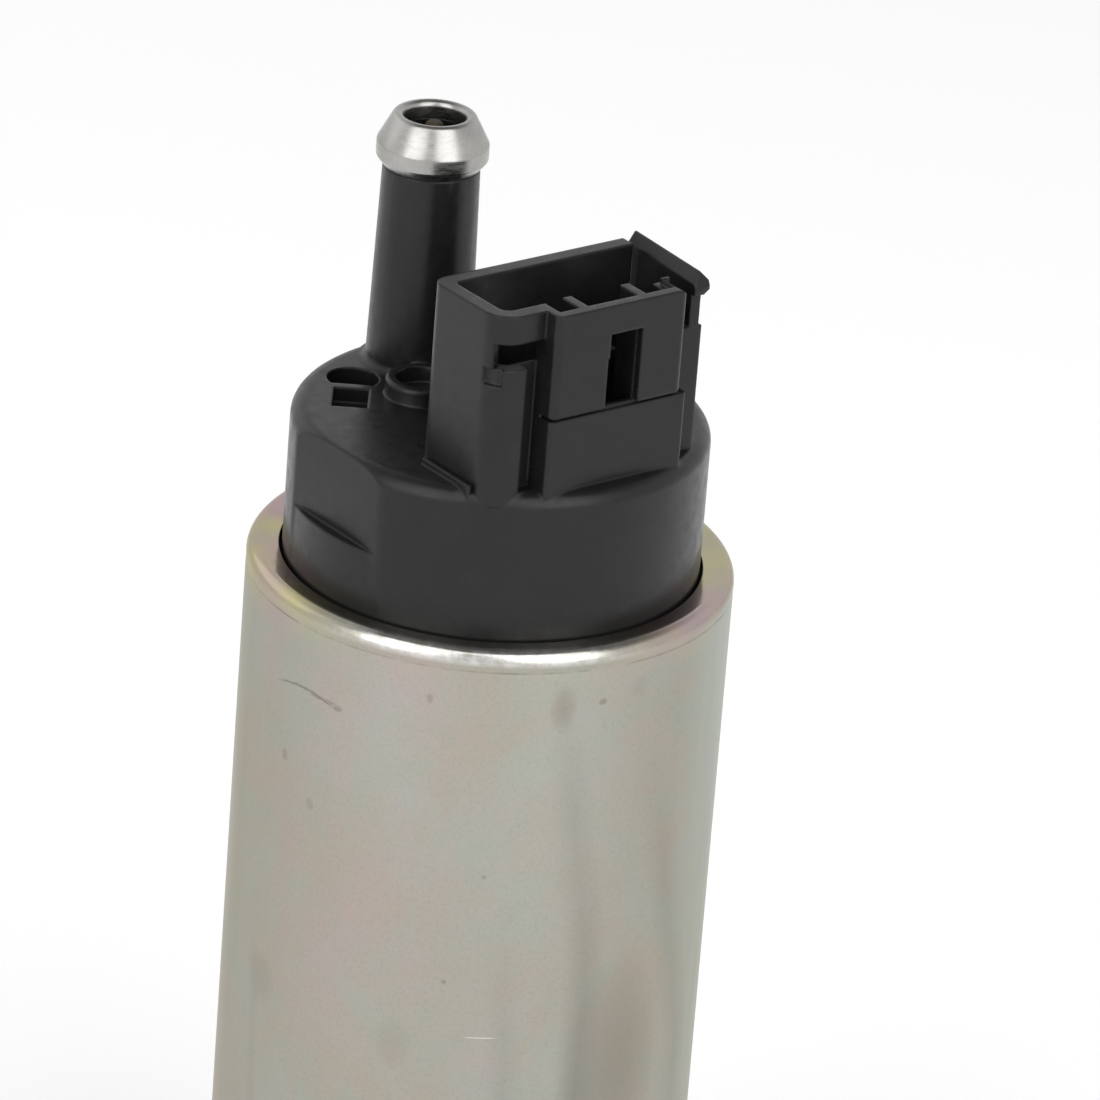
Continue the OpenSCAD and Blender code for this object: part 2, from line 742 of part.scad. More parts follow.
// Plan of a block with both front corners rounded
module round_front(low, high, r) {
    polygon(concat([[high[0], high[1]], [low[0], high[1]]],
        arc(low[0] + r, low[1] + r, r, 180, 270, 5),
        arc(high[0] - r, low[1] + r, r, 270, 360, 5)));
}

// Outside of the plug socket
band_in = 0.15;
band_end = 0.65;
groove = [0.45, 0.3];
module socket_outside() {
    z0 = z_collar - 1;
    far_round = 1.2;
    front_round = 0.6;
    back = bay_face + 0.5;
    // end bays and back, set back from the front wall
    translate([0, 0, z0]) linear_extrude(z_socket - z0)
        round_left([socket_left, bay_face], [front_right, socket_back], near_round, far_round);
    block([front_right - 1, post_face, z0], [socket_right, socket_back, z_socket]);
    // front wall and the wider band below it, which stands back a little
    translate([0, 0, z_collar + band_h]) linear_extrude(socket_h - band_h)
        round_front([front_left, socket_front], [front_right, back], front_round);
    translate([0, 0, z0]) linear_extrude(z_collar + band_h - groove[1] - z0)
        round_front([front_left, socket_front + band_in], [front_right + band_end, back], 0.3);
    // bottom of the groove between them
    block([front_left + groove[0], socket_front + groove[0], z0],
        [front_right, back, z_collar + band_h]);
    // post under the latch tongue
    block([front_right, post_face, z0], [tongue_out + 0.1, socket_back, z_post]);
}

// Latch tongue at the socket's open end: a neck on the post and a hooked, bevelled head
module latch_tongue() {
    head_h = 1.3;
    flare = 0.5;
    bevel = 0.6;
    reach = 0.4;
    back_reach = 0.6;
    mid_y = (post_face + socket_back) / 2;
    neck = (socket_back - post_face) / 2;
    z_head = z_socket - head_h;
    translate([tongue_in, mid_y, 0]) rotate([0, 0, -tongue_turn]) {
        block([0, -neck, z_post - 0.05], [tongue_t, neck, z_head]);
        difference() {
            translate([0, neck + back_reach, 0]) rotate([90, 0, 0])
                linear_extrude(2 * neck + reach + back_reach)
                polygon([[0, z_head - 0.4], [tongue_t, z_head - 0.4], [tongue_t + flare, z_head],
                    [tongue_t + flare, z_socket - bevel], [bevel + 0.15, z_socket + 0.1],
                    [bevel, z_socket + 0.1], [0, z_socket - bevel - 0.2]]);
            // sloping front end of the head
            translate([-1, -neck - reach, z_socket]) rotate([90, 0, 90])
                linear_extrude(tongue_t + flare + 2)
                    polygon([[-1, -head_h], [0, -head_h + 0.3], [bevel, 0.1], [bevel, 1], [-1, 1]]);
        }
    }
}

// Hollow of the plug socket, its windows and slots
module socket_hollow() {
    in_left = socket_left + socket_wall;
    in_back = socket_back - socket_wall;
    in_bay = bay_face + socket_wall;
    in_front = socket_front + front_wall;
    top = z_socket + 1;
    z_bridge = z_socket - 2.35;
    channel = [1.5, 0.9];
    end_wall = 0.7;
    translate([0, 0, z_floor]) linear_extrude(top - z_floor)
        round_left([in_left, in_bay], [tongue_in, in_back], near_round - socket_wall, 0.5);
    block([front_left + end_wall, in_front, z_floor], [front_right - end_wall, in_bay + 1, top]);
    // open end between the front wall and the tongue, above the post
    block([front_right, bay_face - 1, z_post], [tongue_in, in_bay + 1, top]);
    // slit between the back wall and the tongue
    block([socket_right, in_back - 1, z_post], [tongue_in, socket_back + 1, top]);
    // window under the left bay's bridge and the channel beside its post
    block([socket_left + 0.35, bay_face - 1, z_post], [front_left + 0.01, in_bay + 0.5, z_bridge]);
    block([front_left - channel[0], bay_face - 1, z_collar + 0.01],
        [front_left, bay_face + channel[1], z_bridge]);
    corner_notch();
    front_corner();
    front_window(in_front + 1);
}

// What the rounding takes from the front wall's top corner at the open end
module front_corner() {
    r = 1;
    translate([0, bay_face + 1, 0]) rotate([90, 0, 0]) linear_extrude(bay_step + 2)
        polygon(concat([[front_right - r, z_socket + 1], [front_right + 1, z_socket + 1],
            [front_right + 1, z_socket - r]],
            arc(front_right - r, z_socket - r, r, 0, 90, 8)));
}

// Shallow notch around the left bay's rounded corner, below its window
module corner_notch() {
    deep = 0.4;
    h = 1.4;
    translate([socket_left + near_round, bay_face + near_round, z_post - h])
        rotate([0, 0, 188]) rotate_extrude(angle = 44)
            translate([near_round - deep, 0]) square([deep + 1, h]);
}

// Window in the front wall, with a small step in its left edge
module front_window(back) {
    mid = -0.2;
    step = 0.12;
    step_h = 4.2;
    z = z_collar + band_h;
    block([mid - window_w / 2, socket_front - 1, z], [mid + window_w / 2, back, z + step_h]);
    block([mid - window_w / 2 + step, socket_front - 1, z],
        [mid + window_w / 2, back, z + window_h]);
}

// Ribs inside the front wall that guide the plug, and the return at its open end
module socket_ribs() {
    rib_t = 0.8;
    in_front = socket_front + front_wall;
    rib_back = bay_face + socket_wall + 0.3;
    for (x = [front_left + 2.6, front_right - 4.4])
        block([x, in_front - 0.2, z_floor - 0.5], [x + rib_t, rib_back, z_socket]);
    block([front_right - 1.2, in_front - 0.2, z_floor - 0.5],
        [front_right - 0.2, rib_back, z_socket - 0.5]);
}

// Plan of a terminal's foot, from its blade to the brush guide on side s, grown by gap
module terminal_foot(s, gap) {
    from = [blade_mid_x + s * blade_pitch / 2, blade_y];
    to = [s * brush_x, 0];
    run = to - from;
    turn = atan2(run[1], run[0]);
    translate(from) rotate(turn) translate([-blade_w / 2 - gap, -blade_w / 2 - gap])
        square([norm(run) + blade_w / 2 + gap, blade_w + 2 * gap]);
    translate(to) circle(r = pad_r + gap, $fn = 32);
}

// Blade of the terminal on side s, grown by gap
module terminal_blade(s, gap, top) {
    translate([blade_mid_x + s * blade_pitch / 2, blade_y, 0])
        block([-blade_w / 2 - gap, -blade_t / 2 - gap, z_foot],
            [blade_w / 2 + gap, blade_t / 2 + gap, top]);
}

// Outlet cover: collar, outlet tube and plug socket in one moulding
module outlet_cover() {
    low_rib = 0.5;
    rib_gap = 0.15;
    rib_t = 0.4;
    color("#3c3c3e") difference() {
        union() {
            difference() {
                union() {
                    cover_body();
                    tube_body();
                    relief_body();
                    inner_bosses();
                    socket_outside();
                    block([socket_left - rib_gap - rib_t, bay_face + 2, z_collar - 1],
                        [socket_left - rib_gap, socket_back - 1.2, z_collar + low_rib]);
                }
                socket_hollow();
            }
            socket_ribs();
            latch_tongue();
        }
        tube_passage();
        relief_passage();
        inner_hollows();
        roof_pocket();
        side_flats();
        for (s = [-1, 1]) {
            translate([0, 0, z_foot - seat]) linear_extrude(z_roof - z_foot + 2 * seat)
                terminal_foot(s, seat);
            terminal_blade(s, seat, z_floor + 1);
        }
    }
}

module cover_seal_ring() {
    color("black") translate([0, 0, z_flange - 4 + seal_wire / 2]) rotate_extrude()
        translate([fill_r - seal_wire / 2, 0]) circle(d = seal_wire - 2 * seat, $fn = 24);
}

// Carbon brush on side s
module brush(s) {
    edge = 0.5;
    translate([s * brush_x - brush_w / 2, brush_l / 2, z_brush]) rotate([90, 0, 0])
        linear_extrude(brush_l) polygon([[edge, 0], [brush_w - edge, 0], [brush_w, edge],
            [brush_w, brush_h], [0, brush_h], [0, edge]]);
}

module brush_left() { color("#2b2b2d") brush(-1); }

module brush_right() { color("#2b2b2d") brush(1); }

// Coil spring behind the brush on side s
module brush_spring(s) {
    translate([s * brush_x, 0, z_brush_top + spring_gap])
        coil_spring(6, z_foot - z_brush_top - 2 * spring_gap, brush_spring_r, brush_wire);
}

module brush_spring_left() { color("silver") brush_spring(-1); }

module brush_spring_right() { color("silver") brush_spring(1); }

// Copper lead inside the spring, from the brush to the terminal's foot
module brush_lead(s) {
    translate([s * brush_x, 0, z_brush_top + spring_gap])
        cylinder(d = 0.9, h = z_foot - z_brush_top - 2 * spring_gap, $fn = 24);
}

module brush_lead_left() { color("#b87333") brush_lead(-1); }

module brush_lead_right() { color("#b87333") brush_lead(1); }

// Pressed terminal: a blade in the socket and a foot over the brush spring
module terminal(s) {
    taper = 1.2;
    translate([0, 0, z_foot]) linear_extrude(blade_t) terminal_foot(s, 0);
    translate([blade_mid_x + s * blade_pitch / 2, blade_y + blade_t / 2, 0]) rotate([90, 0, 0])
        linear_extrude(blade_t) polygon([[-blade_w / 2, z_foot], [blade_w / 2, z_foot],
            [blade_w / 2, z_blade - taper], [blade_w / 2 - 0.6, z_blade],
            [0.6 - blade_w / 2, z_blade], [-blade_w / 2, z_blade - taper]]);
}

module terminal_left() { color("gold") terminal(-1); }

module terminal_right() { color("gold") terminal(1); }

// Turned metal tip on the outlet tube's neck: a band, a cone and a rounded mouth
module outlet_tip() {
    r = tip_d / 2;
    mouth_r = tip_bore / 2;
    in_r = neck_r + seat;
    low = [0.55, 0.75];
    band_h = 1.8;
    band_top = z_tip_foot + band_h;
    round_r = 0.5;
    slope = atan2(r - mouth_r - 2 * round_r, z_tip - round_r - band_top);
    outline = concat(
        [[in_r, z_tip_foot], [r - low[0], z_tip_foot], [r, z_tip_foot + low[1]]],
        arc(r - round_r, band_top, round_r, 0, slope, 4),
        arc(mouth_r + round_r, z_tip - round_r, round_r, slope, 180, 10),
        [[mouth_r, z_tip - neck_top + seat], [in_r, z_tip - neck_top + seat]]);
    color("lightgray") translate([0, tube_y, 0]) rotate_extrude() polygon(outline);
}

// Check valve: cone head on its seat and a long guided stem
module check_valve() {
    lift = running;
    head_r = tube_bore / 2 - 0.5;
    cone_h = seat_cone * (head_r - seat_hole_r + 0.3) / (tube_bore / 2 - seat_hole_r);
    tip_r = seat_hole_r - 0.3;
    z0 = z_seat + lift + seat_cone * (tip_r - seat_hole_r) / (tube_bore / 2 - seat_hole_r);
    outline = [[0, z0], [tip_r, z0], [head_r, z0 + cone_h], [head_r, z0 + head_h],
        [stem_d / 2, z0 + head_h], [stem_d / 2, stem_top - 0.2],
        [stem_d / 2 - 0.2, stem_top], [0, stem_top]];
    color("#b5a642") translate([0, tube_y, 0]) rotate_extrude() polygon(outline);
}

// Spring that closes the check valve
module check_spring() {
    z0 = z_seat + head_h + 0.1;
    color("silver") translate([0, tube_y, z0])
        coil_spring(7, z_stem_guide - z0 - spring_gap, check_spring_r, check_wire, 12);
}

// Three-armed guide for the check valve's stem
module check_guide() {
    r = tube_bore / 2 - seat;
    arm = 0.9;
    color("#3c3c3e") translate([0, tube_y, z_stem_guide]) difference() {
        union() {
            tube(r, r - 0.6, guide_h);
            cylinder(r = stem_d / 2 + 0.65, h = guide_h);
            for (i = [0:2]) rotate([0, 0, 120 * i + 30])
                translate([0, -arm / 2, 0]) cube([r - 0.3, arm, guide_h]);
        }
        translate([0, 0, -1]) cylinder(r = stem_d / 2 + running, h = guide_h + 2, $fn = 48);
    }
}

// Pressed ring that the relief ball closes
module relief_seat() {
    color("peru") translate([relief_x, relief_y, z_relief])
        tube(relief_r - seat, ball_seat_r, seat_t);
}

module relief_ball() {
    color("silver") translate([relief_x, relief_y, z_ball]) sphere(d = ball_d);
}

// Spring that holds the relief ball down
module relief_spring() {
    z0 = z_ball + sqrt(pow(ball_d / 2, 2) - pow(relief_r - 0.75, 2)) + 0.1;
    color("silver") translate([relief_x, relief_y, z0])
        coil_spring(5, z_relief_top - z0 - spring_gap, relief_r - 0.3, relief_wire, 12);
}

housing_can();
suction_casting();
can_seal_ring();
thrust_pad();
pump_ring();
outer_gear();
inner_gear();
port_plate();
lower_bearing();
pump_dowels();
flux_ring();
magnet_left();
magnet_right();
magnet_clips();
motor_shaft();
armature_core();
armature_windings();
commutator_hub();
commutator_bars();
upper_bearing();
outlet_cover();
cover_seal_ring();
brush_left();
brush_right();
brush_spring_left();
brush_spring_right();
brush_lead_left();
brush_lead_right();
terminal_left();
terminal_right();
outlet_tip();
check_valve();
check_spring();
check_guide();
relief_seat();
relief_ball();
relief_spring();
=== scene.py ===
"""Electric fuel pump: finishes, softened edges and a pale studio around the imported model."""

import json
import math

import bmesh
import bpy
from bpy.props import FloatProperty, FloatVectorProperty, IntProperty, PointerProperty
from mathutils import Matrix, Vector

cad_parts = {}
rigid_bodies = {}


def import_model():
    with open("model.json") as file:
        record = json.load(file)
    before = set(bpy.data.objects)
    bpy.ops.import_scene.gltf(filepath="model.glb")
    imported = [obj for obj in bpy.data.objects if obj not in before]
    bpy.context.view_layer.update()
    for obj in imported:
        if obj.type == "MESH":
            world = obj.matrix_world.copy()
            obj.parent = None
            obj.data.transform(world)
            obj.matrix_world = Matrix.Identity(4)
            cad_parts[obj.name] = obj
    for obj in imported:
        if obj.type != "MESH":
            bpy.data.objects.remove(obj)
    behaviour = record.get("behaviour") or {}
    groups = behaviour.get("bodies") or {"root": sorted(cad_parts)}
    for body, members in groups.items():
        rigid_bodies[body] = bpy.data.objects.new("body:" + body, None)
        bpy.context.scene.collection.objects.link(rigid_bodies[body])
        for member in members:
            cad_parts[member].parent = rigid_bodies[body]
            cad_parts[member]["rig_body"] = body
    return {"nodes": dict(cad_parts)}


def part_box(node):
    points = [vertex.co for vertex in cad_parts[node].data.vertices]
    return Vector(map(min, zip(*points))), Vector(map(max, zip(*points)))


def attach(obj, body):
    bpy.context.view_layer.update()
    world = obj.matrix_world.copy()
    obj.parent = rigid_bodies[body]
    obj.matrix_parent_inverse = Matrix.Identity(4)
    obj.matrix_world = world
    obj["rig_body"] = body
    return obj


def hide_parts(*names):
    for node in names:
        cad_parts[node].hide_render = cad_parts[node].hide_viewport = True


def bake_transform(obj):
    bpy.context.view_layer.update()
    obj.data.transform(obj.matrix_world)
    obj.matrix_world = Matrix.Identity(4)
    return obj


bl_info = {
    "name": "Electric fuel pump",
    "version": (1, 0, 0),
    "blender": (4, 5, 0),
    "location": "View3D > Sidebar > Fuel pump",
    "description": "Dresses the fuel pump's parts and sets up its studio",
    "category": "Object",
}

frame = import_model()
NODES = frame["nodes"]
MM = 0.001

# The can and the metal tip, as the frame holds them
CAN_LOW, CAN_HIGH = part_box("housing_can")
TIP_LOW, TIP_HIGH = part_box("outlet_tip")
CAN_R = CAN_HIGH.x
RIM_Z = CAN_HIGH.z
TIP_MID = (TIP_LOW + TIP_HIGH) / 2
TIP_R = (TIP_HIGH.x - TIP_LOW.x) / 2

# Springs and leads, with the moving body that holds each one's lower end
SPRINGS = {
    "brush_spring_left": "left_brush",
    "brush_spring_right": "right_brush",
    "brush_lead_left": "left_brush",
    "brush_lead_right": "right_brush",
    "check_spring": "check_poppet",
    "relief_spring": "relief_poppet",
}

# Meshes: vertices closer than DOUBLE are merged and faces level within FLAT are joined.
# Edges sharper than SHARP are rounded in EDGE_SEGMENTS steps, and faces are shaded as one
# surface up to SMOOTH. FACE_WEIGHT is how far the large faces lead the shading, up to 100.
DOUBLE = 1e-7
FLAT = math.radians(0.5)
SHARP = math.radians(28)
SMOOTH = math.radians(35)
EDGE_SEGMENTS = 2
FACE_WEIGHT = 80

# Dent below the can's upper shoulder, in millimetres below it and shares of the dent's depth
DENT = ((1.1, 0), (0.65, 1), (0.5, 1), (0.2, 0))

# Foot of the metal tip, in millimetres in from its widest band and up from its lower end, and
# the rounding from there into the band with the height of its centre
TIP_FOOT = ((0.62, 0.0), (0.55, 0.04))
TIP_FLANK = 0.3 * MM
TIP_FLANK_RISE = 0.85 * MM

# Thickness of the steel sheets in the armature's core
SHEET = 0.5 * MM

# Lights: azimuth and elevation in degrees, distance, width and height in metres, power in watts
LIGHTS = {
    "key_light": (112, 37, 0.95, (0.9, 0.9), 0.9),
    "left_box": (-168, 36, 0.95, (0.65, 1.2), 4.6),
    "right_box": (-93, 36, 0.95, (0.7, 1.2), 5.4),
}
LIGHTS_AIM = Vector((0, 0, 80 * MM))

# Where the surroundings start and stop darkening, from 0 below to 1 overhead
WALL_TOP, CEILING_EDGE = 0.5, 0.85

# Half of the floor's width and the camera's nearest and farthest sight in metres, and its
# sensor in millimetres
FLOOR_REACH = 1.6
CAMERA_NEAR, CAMERA_FAR = 0.01, 10
SENSOR = 36


# Settings


class PumpSizes(bpy.types.PropertyGroup):
    """Sizes of the shapes that are made here."""

    can_wall: FloatProperty(
        name="Can wall", description="Thickness of the can's sheet",
        default=0.9 * MM, unit="LENGTH")
    can_shoulder: FloatProperty(
        name="Can shoulder", description="Outside radius of the rolled shoulders",
        default=1.1 * MM, unit="LENGTH")
    can_dent: FloatProperty(
        name="Can dent", description="Depth of the faint dent that the rolling leaves",
        default=0.06 * MM, unit="LENGTH")
    lip_reach: FloatProperty(
        name="Lip radius", description="Inner radius of the rolled lips",
        default=16.9 * MM, unit="LENGTH")
    lip_dip: FloatProperty(
        name="Lip dip", description="Drop of each lip's inner edge from the crest",
        default=0.25 * MM, unit="LENGTH")
    lip_edge: FloatProperty(
        name="Lip edge", description="Rounding of the upper lip's inner edge",
        default=0.1 * MM, unit="LENGTH")
    tip_bore: FloatProperty(
        name="Tip bore", description="Bore of the metal tip's mouth",
        default=4.9 * MM, unit="LENGTH")
    tip_mouth: FloatProperty(
        name="Tip mouth", description="Depth of the mouth, down to the tube's end",
        default=1.37 * MM, unit="LENGTH")
    tip_sleeve: FloatProperty(
        name="Tip sleeve", description="Bore of the metal tip where it holds the tube",
        default=6.96 * MM, unit="LENGTH")
    tip_band: FloatProperty(
        name="Tip band", description="Height above its lower end at which the tip narrows",
        default=1.8 * MM, unit="LENGTH")
    tip_edge: FloatProperty(
        name="Tip edge", description="Rounding above the tip's widest band and at its mouth",
        default=0.5 * MM, unit="LENGTH")
    moulded_edge: FloatProperty(
        name="Moulded edge", description="Widest rounding of the black moulding's edges",
        default=0.16 * MM, unit="LENGTH")
    cast_edge: FloatProperty(
        name="Cast edge", description="Widest rounding of the casting's edges",
        default=0.2 * MM, unit="LENGTH")
    stamped_edge: FloatProperty(
        name="Stamped edge", description="Widest rounding of the terminals' edges",
        default=0.08 * MM, unit="LENGTH")
    round_steps: IntProperty(
        name="Turned steps", description="Steps of a turned or rolled surface round the axis",
        default=192, min=24, max=720)


class PumpColours(bpy.types.PropertyGroup):
    """Colours of the finishes."""

    zinc: FloatVectorProperty(
        name="Zinc plating", description="Main tone of the plated can",
        default=(0.365, 0.36, 0.327), subtype="COLOR", min=0, max=1)
    zinc_warm: FloatVectorProperty(
        name="Warm plating", description="Warm patches of the plating",
        default=(0.37, 0.335, 0.28), subtype="COLOR", min=0, max=1)
    zinc_cool: FloatVectorProperty(
        name="Cool plating", description="Greenish patches of the plating",
        default=(0.33, 0.36, 0.31), subtype="COLOR", min=0, max=1)
    # Also the grey of the soft streaks of painted shade on the can's side.
    zinc_grain_and_shade: FloatVectorProperty(
        name="Dark plating", description="Grey of the plating's grain and soft streaks",
        default=(0.165, 0.16, 0.145), subtype="COLOR", min=0, max=1)
    # Painted highlight: lighter metal for the front of the crest, where the rim's highlight falls.
    zinc_front_highlight: FloatVectorProperty(
        name="Worn plating", description="Bright metal where the rolled rim is rubbed",
        default=(0.60, 0.59, 0.57), subtype="COLOR", min=0, max=1)
    zinc_scraped: FloatVectorProperty(
        name="Scraped plating", description="Bright metal in the one pale scratch",
        default=(0.8, 0.79, 0.75), subtype="COLOR", min=0, max=1)
    film_pink: FloatVectorProperty(
        name="Pink film", description="Pink film at the rolled rim",
        default=(0.43, 0.325, 0.335), subtype="COLOR", min=0, max=1)
    film_yellow: FloatVectorProperty(
        name="Yellow film", description="Yellow film at the rolled rim",
        default=(0.46, 0.42, 0.24), subtype="COLOR", min=0, max=1)
    # Also a painted highlight: the lighter blue along the can's right edge.
    film_blue_and_edge_highlight: FloatVectorProperty(
        name="Blue film", description="Blue film below the rolled rim",
        default=(0.44, 0.49, 0.47), subtype="COLOR", min=0, max=1)
    # Also the brown of a broad painted shade low on the can's right side.
    stain_and_shadow: FloatVectorProperty(
        name="Stain", description="Brown of the scratches and smudges on the can",
        default=(0.16, 0.125, 0.085), subtype="COLOR", min=0, max=1)
    moulding: FloatVectorProperty(
        name="Black moulding", description="Tone of the outlet cover",
        default=(0.0085, 0.0085, 0.0087), subtype="COLOR", min=0, max=1)
    tip: FloatVectorProperty(
        name="Steel tip", description="Tone of the turned tip",
        default=(0.37, 0.365, 0.35), subtype="COLOR", min=0, max=1)


class StageSettings(bpy.types.PropertyGroup):
    """Place of the camera, and tones of the floor and the surroundings."""

    eye: FloatVectorProperty(
        name="Camera place", description="Where the camera stands",
        default=(-358.05 * MM, -457.64 * MM, 343.63 * MM), subtype="TRANSLATION", unit="LENGTH")
    turn: FloatProperty(
        name="Camera turn", description="Angle round the pump, from -Y towards -X",
        default=math.radians(38.5), subtype="ANGLE")
    tilt: FloatProperty(
        name="Camera tilt", description="Angle by which the camera looks down",
        default=math.radians(24.38), subtype="ANGLE")
    roll: FloatProperty(
        name="Camera roll", description="Turn of the camera about its own sight line",
        default=math.radians(4.527), subtype="ANGLE")
    lens: FloatProperty(
        name="Lens", description="Focal length on a 36 mm sensor, in millimetres",
        default=261.88, min=1)
    walls: FloatProperty(
        name="Walls", description="Brightness of the surroundings near the horizon",
        default=0.92, min=0)
    ceiling: FloatProperty(
        name="Ceiling", description="Brightness of the surroundings overhead",
        default=0.2, min=0)
    floor_tone: FloatProperty(
        name="Floor tone", description="Lightness of the floor", default=0.8, min=0, max=1)
    floor_glow: FloatProperty(
        name="Floor glow", description="Light that lifts the floor to white where it is seen",
        default=0.26, min=0)


# Meshes


def link_object(name, bm):
    """A new object from a bmesh."""
    mesh = bpy.data.meshes.new(name)
    bm.to_mesh(mesh)
    bm.free()
    piece = bpy.data.objects.new(name, mesh)
    bpy.context.scene.collection.objects.link(piece)
    return piece


def link_piece(name, bm):
    """A new object from a bmesh, with its faces shaded as one surface up to SMOOTH."""
    piece = link_object(name, bm)
    piece.data.shade_smooth()
    piece.data.set_sharp_from_angle(angle=SMOOTH)
    return piece


def merged_mesh(node):
    """A bmesh of a node's triangles with their doubles merged."""
    bm = bmesh.new()
    bm.from_mesh(NODES[node].data)
    bmesh.ops.remove_doubles(bm, verts=bm.verts[:], dist=DOUBLE)
    return bm


def arc(centre, radius, start, end, steps=10):
    """Points of an arc about (radius, height), with angles in degrees."""
    angles = [math.radians(start + (end - start) * i / steps) for i in range(steps + 1)]
    return [(centre[0] + radius * math.cos(a), centre[1] + radius * math.sin(a)) for a in angles]


def turned_piece(name, outline, steps, centre=(0, 0)):
    """A closed ring outline of (radius, height) points, spun about an upright axis."""
    bm = bmesh.new()
    verts = [bm.verts.new((centre[0] + r, centre[1], z)) for r, z in outline]
    edges = [bm.edges.new((a, b)) for a, b in zip(verts, verts[1:] + verts[:1])]
    bmesh.ops.spin(
        bm, geom=verts + edges, cent=(centre[0], centre[1], 0), axis=(0, 0, 1),
        angle=2 * math.pi, steps=steps, use_merge=True)
    bmesh.ops.remove_doubles(bm, verts=bm.verts[:], dist=DOUBLE)
    bmesh.ops.recalc_face_normals(bm, faces=bm.faces[:])
    return link_piece(name, bm)


def softened_copy(name, node, width):
    """A copy of a node's mesh with its sharp edges rounded, which takes the node's place."""
    bm = merged_mesh(node)
    bmesh.ops.dissolve_limit(
        bm, angle_limit=FLAT, verts=bm.verts[:], edges=bm.edges[:],
        use_dissolve_boundaries=False)
    edges = [e for e in bm.edges if len(e.link_faces) == 2 and e.calc_face_angle(0) > SHARP]
    bmesh.ops.bevel(
        bm, geom=edges, offset=width, offset_type="OFFSET", affect="EDGES",
        segments=EDGE_SEGMENTS, profile=0.5, material=-1, clamp_overlap=True)
    piece = link_piece(name, bm)
    flatten_faces(piece)
    take_place(piece, node)
    return piece


def flatten_faces(piece):
    """Weights the shading towards the large faces, so that roundings don't shade flat walls."""
    weight = piece.modifiers.new("weight", "WEIGHTED_NORMAL")
    weight.keep_sharp = True
    weight.weight = FACE_WEIGHT
    depsgraph = bpy.context.evaluated_depsgraph_get()
    weighted = bpy.data.meshes.new_from_object(piece.evaluated_get(depsgraph))
    piece.modifiers.remove(weight)
    piece.data = weighted


def take_place(piece, node):
    """Puts a piece on a node's body, and shows it instead of the node."""
    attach(piece, NODES[node]["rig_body"])
    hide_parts(node)


def paint(piece, material):
    """Gives a piece its one finish."""
    piece.data.materials.clear()
    piece.data.materials.append(material)


# Finishes


def shade(colour, factor):
    """A colour made darker or lighter."""
    return [min(1, channel * factor) for channel in colour]


